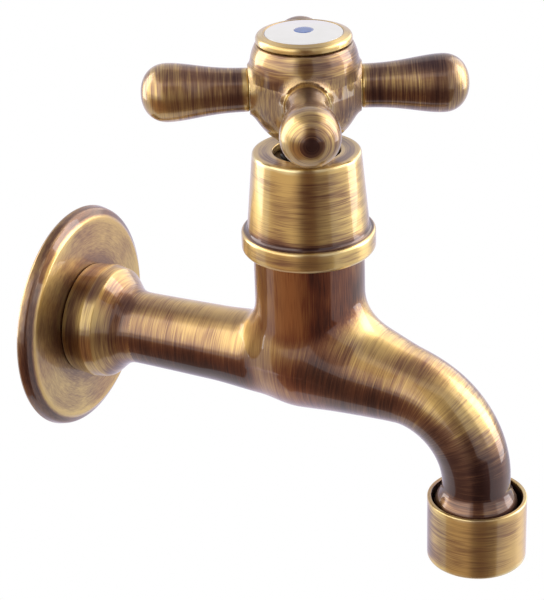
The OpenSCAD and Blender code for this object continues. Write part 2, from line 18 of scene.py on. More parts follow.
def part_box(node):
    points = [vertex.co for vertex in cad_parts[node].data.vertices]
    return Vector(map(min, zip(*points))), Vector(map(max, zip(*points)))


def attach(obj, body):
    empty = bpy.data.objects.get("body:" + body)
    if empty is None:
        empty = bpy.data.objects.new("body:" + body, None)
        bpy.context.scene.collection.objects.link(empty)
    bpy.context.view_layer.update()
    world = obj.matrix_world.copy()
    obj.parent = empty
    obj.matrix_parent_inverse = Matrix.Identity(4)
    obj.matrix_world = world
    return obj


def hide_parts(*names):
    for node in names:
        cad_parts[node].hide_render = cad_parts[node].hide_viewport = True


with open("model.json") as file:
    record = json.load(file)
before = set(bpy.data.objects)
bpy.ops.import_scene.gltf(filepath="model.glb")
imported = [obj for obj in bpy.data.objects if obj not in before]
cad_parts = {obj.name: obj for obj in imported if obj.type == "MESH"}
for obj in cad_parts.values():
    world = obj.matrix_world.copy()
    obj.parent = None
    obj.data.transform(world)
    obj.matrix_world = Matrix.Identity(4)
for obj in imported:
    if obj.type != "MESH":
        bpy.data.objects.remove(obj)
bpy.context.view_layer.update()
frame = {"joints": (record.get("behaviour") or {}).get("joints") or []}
MM = 0.001
TAU = 2 * math.pi


def size_mm(node):
    """Lowest and highest corner of a CAD node, in millimetres."""
    low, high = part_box(node)
    return np.array(low) / MM, np.array(high) / MM


joint = {j["name"]: j for j in frame["joints"]}
handle_axis = np.array(joint["handle_turn"]["pos_m"]) / MM
head_reach, arm_height = -handle_axis[1], handle_axis[2]
sleeve_low, sleeve_high = size_mm("outlet_sleeve")
outlet_y = (sleeve_low[1] + sleeve_high[1]) / 2
print("handle axis", handle_axis, "outlet axis y", round(outlet_y, 2))

# %% [markdown]
# The camera comes first, because every later look is judged through it. Its place
# and lens were found by matching the tap's circles and axes in the photograph. The
# tap is seen from its left, from a little over half a metre, with a long lens.

# %% Camera
FRAME_W, FRAME_H = 544, 600
target = Vector((10.46, -52.84, 9.35)) * MM
camera_distance = 516.16 * MM
camera_azimuth = math.radians(-62.71)
camera_height = math.radians(25.61)
camera_roll = math.radians(-1.943)
focal_px, sensor = 2011.6, 36.0


def new_object(name, data):
    """An object in the scene that shows the given data."""
    item = bpy.data.objects.new(name, data)
    bpy.context.scene.collection.objects.link(item)
    return item


camera = new_object("photo_camera", bpy.data.cameras.new("photo_camera"))
camera.data.sensor_width = sensor
camera.data.lens = focal_px * sensor / max(FRAME_W, FRAME_H)
camera.data.clip_start, camera.data.clip_end = 0.01, 20.0
camera.matrix_world = (
    Matrix.Translation(target) @ Matrix.Rotation(camera_azimuth, 4, "Z")
    @ Matrix.Rotation(math.pi / 2 - camera_height, 4, "X")
    @ Matrix.Rotation(camera_roll, 4, "Z") @ Matrix.Translation((0, 0, camera_distance)))
bpy.context.scene.camera = camera
bpy.context.scene.view_settings.view_transform = "Standard"
print("lens", round(camera.data.lens, 2), "mm on a", sensor, "mm sensor")

# %% [markdown]
# Shader nodes are added by one small class, so that each pattern reads like a sum.
# Every method takes outputs of other nodes, plain numbers or colours alike.

# %% Helpers for shader nodes
class Nodes:
    """Adds shader nodes to one tree."""

    def __init__(self, tree):
        self.tree = tree

    def feed(self, socket, value):
        """Links an output to a socket, or sets the socket to a number or colour."""
        if isinstance(value, bpy.types.NodeSocket):
            self.tree.links.new(value, socket)
        else:
            socket.default_value = (*value, 1.0) if socket.type == "RGBA" else value

    def add(self, kind, inputs=None, **settings):
        """A node with its properties set and its inputs fed; returns its outputs."""
        node = self.tree.nodes.new(("" if kind.startswith("Node") else "ShaderNode") + kind)
        for key, value in settings.items():
            setattr(node, key, value)
        for key, value in (inputs or {}).items():
            self.feed(node.inputs[key], value)
        return node.outputs

    def maths(self, operation, *values, clamp=False):
        """A Math node, or a row of them when there are more than two values."""
        while len(values) > 2:
            values = (self.maths(operation, *values[:2]), *values[2:])
        return self.add("Math", dict(enumerate(values)), operation=operation,
                        use_clamp=clamp)[0]

    def step(self, value, low, high, out_low=0.0, out_high=1.0):
        """Rises smoothly from out_low to out_high while value goes from low to high."""
        return self.add("MapRange", {"Value": value, "From Min": low, "From Max": high,
                                     "To Min": out_low, "To Max": out_high},
                        interpolation_type="SMOOTHSTEP")["Result"]

    def arch(self, value, low, high, soft):
        """1 between low and high, fading to 0 over soft on both sides."""
        return self.maths("MULTIPLY", self.step(value, low - soft, low),
                          self.step(value, high, high + soft, 1.0, 0.0))

    def mix(self, factor, first, second):
        """Two colours mixed by a factor."""
        return self.add("Mix", {0: factor, 6: first, 7: second}, data_type="RGBA")[2]

    def scaled(self, vector, factor):
        """A vector times a factor."""
        return self.add("VectorMath", {0: vector, "Scale": factor}, operation="SCALE")[0]

    def along(self, vector, axis):
        """The part of a vector along a fixed direction."""
        return self.add("VectorMath", {0: vector, 1: axis},
                        operation="DOT_PRODUCT")["Value"]

    def noise(self, vector, detail, fourth=None):
        """Noise from 0 to 1 at a place; a fourth value makes it four-dimensional."""
        inputs = {"Vector": vector, "Scale": 1.0, "Detail": detail, "Roughness": 0.55}
        if fourth is None:
            return self.add("TexNoise", inputs)["Fac"]
        return self.add("TexNoise", {**inputs, "W": fourth}, noise_dimensions="4D")["Fac"]


print("node helpers:", [name for name in vars(Nodes) if not name.startswith("_")])

# %% [markdown]
# Polished metal shows little of its own and much of the room, so the studio is part
# of the finish. The room is built into the world's light: pale walls, a tall window
# on each side, a duller ceiling, and a dark bench and stand where the camera is. The
# camera itself sees plain white. Matt surfaces get an even grey light, so that their
# colours stay as written.

# %% Studio: what the metal sees
ROOM_WHITE, ROOM_GLOW = (0.88, 0.84, 0.88), (0.84, 0.78, 0.92)
ROOM_WINDOW, ROOM_TOP = (2.6, 2.5, 2.35), (0.36, 0.31, 0.38)
ROOM_BROWN, ROOM_DARK = (0.40, 0.215, 0.15), (0.185, 0.100, 0.085)
MATT_LIGHT = 0.55
# Spans in degrees of turn from the camera or of rise: from, to and softness
LEFT_WINDOW, RIGHT_WINDOW, WINDOW_RISE = (-100, -28, 8), (62, 150, 10), (6, 50, 6)
BENCH, BENCH_RISE = (-80, 40, 4), (-64, -10, 3)
STAND, STAND_RISE = (-13, 15, 4), (-64, 40, 8)
# Spans over which something comes or goes
CEILING_COMES, BENCH_DARKENS = (54, 64), (-26, -14)
GLOW_COMES, GLOW_ENDS = (124, 146), (4, 16)

world = bpy.data.worlds.new("studio")
bpy.context.scene.world = world
world.use_nodes = True
world.node_tree.nodes.clear()
sky = Nodes(world.node_tree)
view_line = sky.add("TexCoord")["Generated"]
forth = sky.along(view_line, (math.sin(camera_azimuth), -math.cos(camera_azimuth), 0))
aside = sky.along(view_line, (math.cos(camera_azimuth), math.sin(camera_azimuth), 0))
turn_deg = sky.maths("DEGREES", sky.maths("ARCTAN2", aside, forth))
rise_deg = sky.maths("DEGREES", sky.maths("ARCSINE", sky.along(view_line, (0, 0, 1))))
windows = sky.maths("MULTIPLY", sky.arch(rise_deg, *WINDOW_RISE), sky.maths(
    "ADD", sky.arch(turn_deg, *LEFT_WINDOW), sky.arch(turn_deg, *RIGHT_WINDOW)))
furniture = sky.maths("MAXIMUM", *[
    sky.maths("MULTIPLY", sky.arch(turn_deg, *turn), sky.arch(rise_deg, *rise))
    for turn, rise in ((BENCH, BENCH_RISE), (STAND, STAND_RISE))])
glow = sky.maths("MULTIPLY", sky.step(sky.maths("ABSOLUTE", turn_deg), *GLOW_COMES),
                 sky.step(rise_deg, *GLOW_ENDS, 1.0, 0.0))
wood = sky.mix(sky.step(turn_deg, *BENCH_DARKENS), ROOM_BROWN, ROOM_DARK)
room = ROOM_WHITE
for share, colour in ((glow, ROOM_GLOW), (windows, ROOM_WINDOW),
                      (sky.step(rise_deg, *CEILING_COMES), ROOM_TOP), (furniture, wood)):
    room = sky.mix(share, room, colour)
rays = sky.add("LightPath")
seen = sky.mix(rays["Is Diffuse Ray"], room, (MATT_LIGHT,) * 3)
seen = sky.mix(rays["Is Camera Ray"], seen, (1.0, 1.0, 1.0))
sky.add("OutputWorld", {"Surface": sky.add("Background", {"Color": seen})[0]})
world.cycles.sampling_method = "NONE"
print("world pattern has", len(world.node_tree.nodes), "nodes")


# %% Studio: softboxes and floor
def softbox(name, turn, height, distance, size, radiance):
    """An area lamp aimed at the tap; its power is radiance x pi x area."""
    lamp = bpy.data.lights.new(name, "AREA")
    lamp.shape, lamp.size, lamp.size_y = "RECTANGLE", *size
    lamp.energy = radiance * math.pi * size[0] * size[1]
    holder = new_object(name, lamp)
    place = camera_azimuth + math.radians(turn)
    away = Vector((math.sin(place), -math.cos(place), math.tan(math.radians(height))))
    holder.matrix_world = (Matrix.Translation(target + away * distance)
                           @ away.to_track_quat("Z", "Y").to_matrix().to_4x4())
    print(f"{name}: {lamp.energy:.1f} W")
    return holder


softbox("softbox_left", -112, 15, 0.95, (0.55, 1.15), 3.4)
softbox("softbox_right", 101, 15, 0.95, (0.50, 1.15), 3.4)
softbox("softbox_top", 20, 75, 1.0, (0.9, 0.9), 4.4).visible_glossy = False

FLOOR_R, FLOOR_SIDES, FLOOR_MIDDLE = 0.32, 96, (0.0, -0.06, -0.34)
floor_turn = TAU * np.arange(FLOOR_SIDES) / FLOOR_SIDES
floor_ring = FLOOR_MIDDLE + FLOOR_R * np.stack(
    [np.cos(floor_turn), np.sin(floor_turn), 0 * floor_turn], 1)
floor_mesh = bpy.data.meshes.new("floor")
floor_mesh.from_pydata(floor_ring, [], [list(range(FLOOR_SIDES))])
floor = new_object("floor", floor_mesh)
floor.visible_glossy = False

# %% [markdown]
# Most of the tap was turned on a lathe: flange, collar, bell, arms, ring, button and
# sleeve. Each is one profile swept round an axis, so one function makes them all.
# Its corners are rounded by true arcs, because a crisp but soft edge is what catches
# the light on real turned brass.

# %% Profiles with rounded corners
ARC_POINTS = 7
ARC_SHARE = 0.49  # the most of a side that one arc may take


def rounded(corners):
    """Rounds the corners of a closed profile of (radius, height, rounding) rows.

    Each corner C becomes the arc between its tangent points A and B, written as the
    rational curve ((1-s)^2 A + 2 s (1-s) w C + s^2 B) / ((1-s)^2 + 2 s (1-s) w + s^2),
    where w is the sine of half the corner's inner angle. That curve is a true circle.
    """
    corners = np.array([(*c, 0.0)[:3] for c in corners], float)
    here, radius = corners[:, :2], corners[:, 2]
    to_last = np.roll(here, 1, 0) - here
    to_next = np.roll(here, -1, 0) - here
    last_len = np.linalg.norm(to_last, axis=1)
    next_len = np.linalg.norm(to_next, axis=1)
    to_last /= last_len[:, None]
    to_next /= next_len[:, None]
    half = np.arccos(np.clip((to_last * to_next).sum(1), -1, 1)) / 2
    reach = np.minimum(radius / np.tan(np.maximum(half, 1e-3)),
                       ARC_SHARE * np.minimum(last_len, next_len))
    s = np.linspace(0, 1, ARC_POINTS)[None, :, None]
    a = (here + to_last * reach[:, None])[:, None]
    b = (here + to_next * reach[:, None])[:, None]
    w = np.sin(half)[:, None, None]
    top = (1 - s) ** 2 * a + 2 * s * (1 - s) * w * here[:, None] + s ** 2 * b
    arcs = top / ((1 - s) ** 2 + 2 * s * (1 - s) * w + s ** 2)
    keep = np.ones((len(here), ARC_POINTS), bool)
    keep[reach < 1e-6, 1:] = False
    return arcs[keep]


square = np.array([(0, 0, 1), (4, 0, 1), (4, 4, 1), (0, 4, 1)], float)
print("a rounded square has", len(rounded(square)), "points")


# %% Points, sides and edges of a profile
def refined(points, longest):
    """Splits every stretch longer than longest, evenly, and keeps the given points."""
    pieces = []
    for start, end in zip(points[:-1], points[1:]):
        count = max(1, math.ceil(np.linalg.norm(end - start) / longest))
        pieces.append(start + (end - start) * np.arange(count)[:, None] / count)
    return np.concatenate(pieces + [points[-1:]])


def counter_clockwise(points):
    """Turns a closed profile so that its solid lies on the left of the path."""
    nxt = np.roll(points, -1, 0)
    area = (points[:, 0] * nxt[:, 1] - nxt[:, 0] * points[:, 1]).sum()
    return points if area > 0 else points[::-1]


def outward_slope(points, ring):
    """Unit normals, each at right angles to the sum of the point's two sides."""
    before = points - np.roll(points, 1, 0)
    after = np.roll(points, -1, 0) - points
    if not ring:
        before[0], after[-1] = after[0], before[-1]
    tangent = before + after
    slope = np.stack([tangent[:, 1], -tangent[:, 0]], 1)
    return slope / np.maximum(np.linalg.norm(slope, axis=1), 1e-9)[:, None]


def edge_mask(points, closed, width=0.9):
    """+1 on sharp outer corners and -1 in inner ones, fading within a few widths.

    The turning angle at each point is spread over its neighbours with the weight
    exp(-(distance / width)^2), measured along the profile.
    """
    step = np.roll(points, -1, 0) - points
    heading = np.arctan2(step[:, 1], step[:, 0])
    turn = (heading - np.roll(heading, 1) + math.pi) % TAU - math.pi
    if not closed:
        turn[[0, -1]] = 0
    along = np.concatenate([[0], np.cumsum(np.linalg.norm(step, axis=1))[:-1]])
    weight = np.exp(-((along[:, None] - along[None]) / width) ** 2)
    return np.clip(weight @ turn, -1, 1)


print("edge values of a square:", edge_mask(square[:, :2], True))


# %% Meshes from arrays
made_pieces = []


def mesh_piece(name, vertices, faces, normals, body, replaces=(), slot="antique_brass",
               **attributes):
    """Makes a piece from arrays in millimetres, with normals and values at its points.

    The attribute brush is the direction across the brush lines.
    """
    mesh = bpy.data.meshes.new(name)
    mesh.from_pydata(vertices * MM, [], faces)
    mesh.shade_smooth()
    if normals is not None:
        mesh.normals_split_custom_set_from_vertices(normals)
    for key, values in attributes.items():
        kind, part = ("FLOAT_VECTOR", "vector") if key == "brush" else ("FLOAT", "value")
        layer = mesh.attributes.new(key, kind, "POINT")
        layer.data.foreach_set(part, np.asarray(values, np.float32).ravel())
    piece = new_object(name, mesh)
    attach(piece, body)
    if replaces:
        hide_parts(*replaces)
    made_pieces.append(piece)
    print(f"{name}: {len(mesh.vertices)} points, {len(mesh.polygons)} faces")


def ease(u):
    """Level at both ends: u^2 (3 - 2 u) of u held between 0 and 1."""
    u = np.clip(u, 0, 1)
    return u * u * (3 - 2 * u)


def fade(value, start, full):
    """Rises smoothly from 0 at start to 1 at full; it falls where full is the lower."""
    return ease((value - start) / (full - start))


def patch(strength, *spans):
    """A rubbed (+) or brown (-) patch that fades in along each (value, start, full)."""
    return strength * np.prod([fade(*span) for span in spans], axis=0)


def axis_frame(origin, direction):
    """Two unit vectors at right angles to a direction, so that (e1, e2, a) is a frame."""
    a = np.array(direction, float)
    a /= np.linalg.norm(a)
    helper = np.array([0, 0, 1.0]) if abs(a[2]) < 0.9 else np.array([1.0, 0, 0])
    e1 = np.cross(helper, a)
    e1 /= np.linalg.norm(e1)
    return np.array(origin, float), e1, np.cross(a, e1), a


def rings_joined(index):
    """Quads between neighbouring rows of a grid of point numbers; rows are rings."""
    here, there = index[:-1], index[1:]
    return np.stack([here, np.roll(here, -1, 1), np.roll(there, -1, 1), there],
                    -1).reshape(-1, 4)


print("a patch half way in is", patch(1.0, (0.5, 0, 1)), "strong")


# %% Turned pieces
# Painted shade: bores and inward faces go nearly black, darker than the unbrushed patina
# they keep
UNBRUSHED_AND_SHADE = 1.4  # fall of the edge value where neither brush nor hand could reach
FRONT_SIDE, FRONT_FADE = np.array([-0.39, -0.92, 0]), (-0.25, 0.58)


def turned(name, profile, origin, direction, body, around=224, longest=1.2, ring=False,
           groove=None, wear_and_light=None, rubbed=0.0, **options):
    """Sweeps a profile of (radius, height) round an axis.

    A point is origin + height a + radius (cos t e1 + sin t e2). A ring's profile is
    a closed loop; any other starts and ends on the axis, where the grid closes in
    one point. A groove adds its own change of radius. The value across is the length
    along the profile, for the brushing. The value edge is high on corners, falls by
    UNBRUSHED_AND_SHADE on faces that look at the axis (unbrushed patina and painted
    shade), takes in what wear_and_light adds (painted shade or reflection in places),
    and what was rubbed on the side away from the wall.
    """
    origin, e1, e2, a = axis_frame(origin, direction)
    points = counter_clockwise(np.asarray(profile, float))
    if ring:
        points = refined(np.concatenate([points, points[:1]]), longest)[:-1]
    else:
        points = np.roll(points, -int(np.argmin(points[:, 0] + 1e-3 * points[:, 1])), 0)
        points = refined(points, longest)
    step = np.linalg.norm(np.diff(points, axis=0, append=points[:1]), axis=1)
    along = np.concatenate([[0], np.cumsum(step)[:-1]])
    slope, edge = outward_slope(points, ring), edge_mask(points, ring)
    t = TAU * np.arange(around) / around
    outward = np.cos(t)[:, None] * e1 + np.sin(t)[:, None] * e2
    n = len(points)
    radius = points[:, :1] + (groove(points, t) if groove else np.zeros((1, around)))
    vertices = (origin + points[:, 1, None, None] * a
                + radius[:, :, None] * outward[None])
    normals = slope[:, 0, None, None] * outward[None] + slope[:, 1, None, None] * a
    brush = -slope[:, 1, None, None] * outward[None] + slope[:, 0, None, None] * a
    edge = edge - UNBRUSHED_AND_SHADE * ease(-slope[:, 0]) + (wear_and_light(points, slope) if wear_and_light else 0)
    index = np.arange(n * around).reshape(n, around)
    if not ring:
        index[0], index[-1] = index[0, 0], index[-1, 0]
    keep, index = np.unique(index, return_inverse=True)
    index = index.reshape(n, around)
    quads = rings_joined(np.concatenate([index, index[:1]]) if ring else index)
    faces = [list(dict.fromkeys(quad)) for quad in quads.tolist()]
    edge = edge[:, None] + patch(rubbed, (outward @ FRONT_SIDE, *FRONT_FADE))
    values = {"across": np.repeat(along, around)[keep], "edge": edge.ravel()[keep]}
    vertices, normals, brush = (v.reshape(-1, 3)[keep] for v in (vertices, normals, brush))
    if not ring:
        normals[0], normals[-1], brush[[0, -1]] = -a, a, e1
    elif groove:
        normals = None
    mesh_piece(name, vertices, faces, normals, body, **values, brush=brush, **options)


print("turned pieces are ready to be made")

# %% [markdown]
# The wall flange is a shallow spun cover: a flat face, a soft ridge near its edge and
# a rolled rim, hollow towards the wall. The collar behind the pipe is turned: a
# swelling band, a ridge, and a long hollow sweep that runs out on the pipe.

# %% Flange and collar
WALL = (0, 0, 0)
OUT = (0, -1, 0)
UP = (0, 0, 1)
head_foot = (0, -head_reach, 0)
outlet_foot = (0, outlet_y, 0)
flange_r = size_mm("wall_flange")[1][0]
flange_top = -size_mm("wall_flange")[0][1]
flange_bore, face_r, sheet = 10.63, 26.5, 1.2
pipe_r, collar_bore, collar_foot, collar_end, collar_r = 9.35, 8.9, 4.0, 25.5, 15.0

flange = rounded([
    (flange_bore, flange_top - sheet), (flange_bore, flange_top, 0.2),
    (face_r, flange_top, 1.1), (face_r + 2.4, flange_top - 1.45, 1.6),
    (flange_r, 0.6, 0.5), (flange_r - 0.35, 0, 0.2), (flange_r - sheet, 0),
    (face_r + 1.5, 1.7, 1.2), (face_r - 0.5, flange_top - sheet, 0.8)])


def flange_rim_and_shade(points, slope):
    """The rim is browner than the face; the ring by the collar is painted shade."""
    radius = points[:, 0]
    return patch(-1.05, (radius, 27.0, 27.8)) + patch(-0.45, (radius, 19.5, 15.0))


turned("flange", flange, WALL, OUT, "fixed", ring=True, wear_and_light=flange_rim_and_shade,
       replaces=["wall_flange"])

collar = rounded([
    (collar_bore, collar_foot), (collar_r - 0.6, collar_foot, 0.5), (collar_r, 9.9, 1.5),
    (collar_r - 0.75, 12.55, 0.8), (pipe_r + 0.03, 17.55, 7.0),
    (pipe_r - 0.04, collar_end), (collar_bore, collar_end)])
turned("collar", collar, WALL, OUT, "fixed", ring=True)

# %% [markdown]
# The tail behind the wall carries a half-inch pipe thread. Each turn of the cutter
# moves it on by one pitch, so the groove's depth depends on the height plus the share
# of a turn; the thread fades out where the chamfer starts.

# %% Threaded inlet tail
thread_pitch, thread_depth = 1.814, 1.16
tail_end, thread_start = -12.0, 1.0
thread_r, tail_bore = 10.4775, 6.3
run_out, crest, plain_r, tail_end_r = 1.2, 0.08, 9.4, 9.88


def pipe_thread(points, t):
    """Depth of the groove: a triangle wave of (height / pitch - t / turn), rounded.

    It runs out over a short way at both ends, and the crests stay a little flat.
    """
    height = points[:, 1][:, None]
    wave = np.abs(((height / thread_pitch - t[None] / TAU) % 1) * 2 - 1)
    wave = np.clip((wave - crest) / (1 - 2 * crest), 0, 1)
    cut = (np.clip((height - tail_end) / run_out, 0, 1)
           * np.clip(thread_start - height, 0, 1))
    outer = (points[:, 0] > plain_r)[:, None]
    return -thread_depth * (0.5 - 0.5 * np.cos(math.pi * wave)) * cut * outer


tail = rounded([
    (tail_bore, tail_end, 0.3), (thread_r - 1.0, tail_end), (thread_r, tail_end + 1.0),
    (thread_r, thread_start), (tail_end_r, thread_start + 0.4),
    (tail_end_r, collar_foot + 0.4), (collar_bore, collar_foot + 0.4),
    (collar_bore, collar_foot - 1.0), (tail_bore, collar_foot - 1.0)])
turned("inlet_tail", tail, WALL, OUT, "fixed", ring=True, longest=0.16, around=160,
       groove=pipe_thread)

# %% [markdown]
# The bell shroud screws down over the headwork. It is a straight-sided cone with a
# flat, pierced top, and its foot is a rounded bead that laps over the neck. A soft
# cove joins bell and bead, and the bead's underside is cut off sharply.

# %% Bell shroud
bell_low, bell_high = size_mm("bell_shroud")
bell_foot, bell_top = bell_low[2], bell_high[2]
bead_r, bead_high, neck_bore = bell_high[0], 5.35, 13.64
cone_foot_r, cone_top_r, stem_hole, head_bore, hollow_r = 14.95, 13.12, 8.2, 9.03, 13.0
bell = rounded([
    (neck_bore, bell_foot, 0.15), (bead_r, bell_foot, 1.45),
    (bead_r, bell_foot + bead_high, 1.7), (cone_foot_r, bell_foot + 5.5, 1.0),
    (cone_top_r, bell_top, 0.75), (stem_hole, bell_top, 0.3), (stem_hole, bell_top - 1.8),
    (head_bore, bell_top - 1.8), (head_bore, bell_top - 7.8), (hollow_r, bell_top - 11.3),
    (hollow_r, bell_foot + bead_high - 0.2), (neck_bore, bell_foot + bead_high - 0.2)])


def level_brown(points, slope):
    """Level faces were left brown: the brush only went round the sides."""
    return patch(-0.55, (slope[:, 1], 0.8, 0.95))


def bell_tone(points, slope):
    """The bell is browner towards its bead as well."""
    return level_brown(points, slope) + patch(-0.32, (points[:, 1] - bell_foot, 14, 6))


turned("bell", bell, head_foot, UP, "fixed", around=256, ring=True, wear_and_light=bell_tone,
       replaces=["bell_shroud"])

# %% [markdown]
# Four arms screw into the hub. Each grows from its root to a round grip, so its
# radius follows an S-shaped rise and then a superellipse for the end.

# %% Arms
HANDLE_TURN = 62.3  # degrees from the wall's normal to the front arm
arm_reach = 38.7
arm_root, arm_root_r, arm_r, chamfer = 13.25, 5.2, 6.95, 0.3
tip_length, tip_power = 6.3, 2.2
stud_r, stud_start = 2.5, 7.6
arm_centre = tuple(handle_axis)


def swell(u):
    """An S-shaped rise from 0 to 1, slow at first: u^2 (0.6 + 2.8 u - 2.4 u^2)."""
    return u * u * (0.6 + 2.8 * u - 2.4 * u * u)


def arm_profile():
    """Stud, chamfered root, swelling grip, and the end r = R cos(a)^(2/p)."""
    u = np.linspace(0, 1, 40)
    quarter = np.linspace(0, math.pi / 2, 36)[1:]
    wide = arm_reach - tip_length
    grip = np.stack([arm_root_r + (arm_r - arm_root_r) * swell(u),
                     arm_root + chamfer + (wide - arm_root - chamfer) * u], 1)
    tip = np.stack([arm_r * np.clip(np.cos(quarter), 0, 1) ** (2 / tip_power),
                    wide + tip_length * np.sin(quarter) ** (2 / tip_power)], 1)
    tip[-1, 0] = 0
    root = np.array([[0, stud_start], [stud_r, stud_start], [stud_r, arm_root],
                     [arm_root_r - chamfer, arm_root]])
    return np.concatenate([root, grip, tip])


def arm_rubbed_and_reflection(points, slope):
    """Hands rubbed the swelling gold; its end's middle has a painted dark reflection."""
    radius, reach = points.T
    return patch(0.42, (reach, 24, 38)) + patch(-0.9, (radius, 3.6, 1.0), (reach, 30, 32))


arm_directions = {}
for quarter, node in enumerate(["arm_front", "arm_right", "arm_back", "arm_left"]):
    angle = math.radians(90 * quarter - HANDLE_TURN)
    arm_directions[node] = (math.sin(angle), -math.cos(angle), 0)
    turned("grip_" + node[4:], arm_profile(), arm_centre, arm_directions[node], "handle",
           around=128, replaces=[node], wear_and_light=arm_rubbed_and_reflection)

# %% [markdown]
# On top of the hub a brass ring holds a glazed porcelain button. The button is a
# shallow dome, and its cold-water mark is a plain blue dot under the glaze.

# %% Button and its ring
recess_r, recess_deep, plate_r, ring_r = 8.47, 3.6, 10.7, 11.38
seat_gap, plate, glaze = 0.03, 0.4, 0.65
hub_top = size_mm("index_bezel")[0][2] + recess_deep
ring_top = size_mm("index_bezel")[1][2]
button_r = size_mm("index_disc")[1][0]
button_top = size_mm("index_disc")[1][2]
mark_r = size_mm("index_mark")[1][0]
dome_rise = 0.55
dome_radius = (button_r ** 2 + dome_rise ** 2) / (2 * dome_rise)
bezel = rounded([
    (0, hub_top - plate), (recess_r - 1.1, hub_top - plate),
    (recess_r - 1.1, hub_top - recess_deep), (recess_r, hub_top - recess_deep),
    (recess_r, hub_top), (plate_r, hub_top), (plate_r, hub_top + plate),
    (ring_r, hub_top + plate, 0.2), (ring_r, ring_top - 0.55, 0.95), (9.55, ring_top, 0.35),
    (button_r + seat_gap, ring_top - 0.15, 0.1), (button_r + seat_gap, hub_top + 0.6),
    (0, hub_top + 0.6)])
turned("button_ring", bezel, head_foot, UP, "handle", replaces=["index_bezel"])


def on_dome(radius):
    """Profile rows on the dome: height = top - R + sqrt(R^2 - radius^2)."""
    height = button_top - dome_radius + np.sqrt(dome_radius ** 2 - radius ** 2)
    return np.stack([radius, height], 1)


dome = on_dome(np.append(np.linspace(button_r - 0.25, mark_r + 0.1, 14), mark_r + seat_gap))
button = np.concatenate([
    rounded([(0, hub_top + glaze), (button_r, hub_top + glaze),
             (button_r, button_top - dome_rise, 0.3), tuple(dome[0])]), dome[1:],
    [(mark_r + seat_gap, button_top - glaze), (0, button_top - glaze)]])
turned("button", button, head_foot, UP, "handle", replaces=["index_disc"],
       slot="white_porcelain")

mark = np.concatenate([[(0, button_top - 0.6), (mark_r, button_top - 0.6)],
                       on_dome(np.linspace(mark_r, 0, 6))])
turned("cold_mark", mark, head_foot, UP, "handle", around=96, replaces=["index_mark"],
       slot="blue_glaze")

# %% [markdown]
# The outlet sleeve is a thin turned housing. It stands open at the top round the
# spout, which leaves a dark ring-shaped gap, and its lower lip holds the aerator.

# %% Outlet sleeve
sleeve_r, sleeve_foot, sleeve_top = sleeve_high[0], sleeve_low[2], sleeve_high[2]
sleeve_wall, sleeve_lip_r, spout_deep = 1.0, 9.6, 7.6
sleeve_bore = sleeve_r - sleeve_wall
socket_r, insert_r = sleeve_bore - 0.27, sleeve_bore - 0.6
sleeve = rounded([
    (sleeve_lip_r, sleeve_foot, 0.35), (sleeve_r, sleeve_foot, 0.8),
    (sleeve_r, sleeve_top, 0.3), (sleeve_bore, sleeve_top, 0.2),
    (sleeve_bore, sleeve_top - 4.0), (socket_r, sleeve_top - 4.3),
    (socket_r, sleeve_top - spout_deep), (insert_r, sleeve_top - spout_deep - 0.3),
    (insert_r, sleeve_foot + sleeve_wall), (sleeve_lip_r, sleeve_foot + sleeve_wall, 0.2)])
turned("sleeve", sleeve, outlet_foot, UP, "fixed", around=256, ring=True,
       wear_and_light=level_brown, rubbed=0.75, replaces=["outlet_sleeve"])

# %% [markdown]
# The outlet is closed by fine wire cloth. Every wire is a thin tube that rises over
# one crossing wire and dips under the next, so its height is half a wire times the
# sine of its place in the weave.

# %% Woven outlet mesh
cloth_low, cloth_high = size_mm("outlet_mesh")
cloth_r, cloth_z = cloth_high[0], (cloth_low[2] + cloth_high[2]) / 2
wire_pitch, wire_r, wire_sides, wire_step, shortest = 1.0, 0.13, 6, 0.2, 1.0


def woven_wires():
    """Tubes along x and y; wire k is centre + wire_r sin(pi (place / pitch + k))."""
    points, faces, total = [], [], 0
    turn = TAU * np.arange(wire_sides) / wire_sides
    rows = np.arange(-int(cloth_r / wire_pitch), int(cloth_r / wire_pitch) + 1)
    for way in (0, 1):
        for k in rows:
            half = math.sqrt(max(cloth_r ** 2 - (k * wire_pitch) ** 2, 0)) - wire_r
            if half < shortest:
                continue
            along = np.linspace(-half, half, int(2 * half / wire_step) + 1)
            wave = 0.9 * wire_r * np.sin(math.pi * (along / wire_pitch + k + 0.5 + way))
            side = k * wire_pitch + wire_r * np.cos(turn)[None] + 0 * along[:, None]
            high = cloth_z + wave[:, None] + wire_r * np.sin(turn)[None]
            first = along[:, None] + 0 * side
            x, y = (first, side) if way == 0 else (side, first)
            n = len(along)
            points.append(np.stack([x, outlet_y + y, high], -1).reshape(-1, 3))
            index = total + np.arange(n * wire_sides).reshape(n, wire_sides)
            quads, caps = rings_joined(index), np.stack([index[0][::-1], index[-1]])
            if way == 0:
                quads, caps = quads[:, ::-1], caps[:, ::-1]
            faces += quads.tolist() + caps.tolist()
            total += n * wire_sides
    return np.concatenate(points), faces


cloth_points, cloth_faces = woven_wires()
mesh_piece("wire_cloth", cloth_points, cloth_faces, None, "fixed",
           replaces=["outlet_mesh"], slot="stainless_steel")

# %% [markdown]
# The body is a casting in which pipe, belly, neck and spout flow into each other, so
# no grid of rings fits it. Instead each part is written as a distance field, a
# function that gives every point its distance to the surface. Fields melt together
# with a smooth minimum, and the surface is then drawn where the result is zero.

# %% Smooth minimum and maximum
def blend_min(a, b, k):
    """Smooth minimum: min(a, b) - k h^2 / 4, with h = max(1 - |a - b| / k, 0)."""
    h = np.clip(1 - np.abs(a - b) / k, 0, None)
    return np.minimum(a, b) - 0.25 * k * h * h


def blend_max(a, b, k):
    """Smooth maximum, which rounds an outer edge: -blend_min(-a, -b)."""
    return -blend_min(-a, -b, k)


def span(value, low, high):
    """Distance outside a stretch of one coordinate, negative inside it."""
    return np.maximum(low - value, value - high)


print("two surfaces 1 mm away melt to", blend_min(1.0, 1.0, 2.0), "mm")

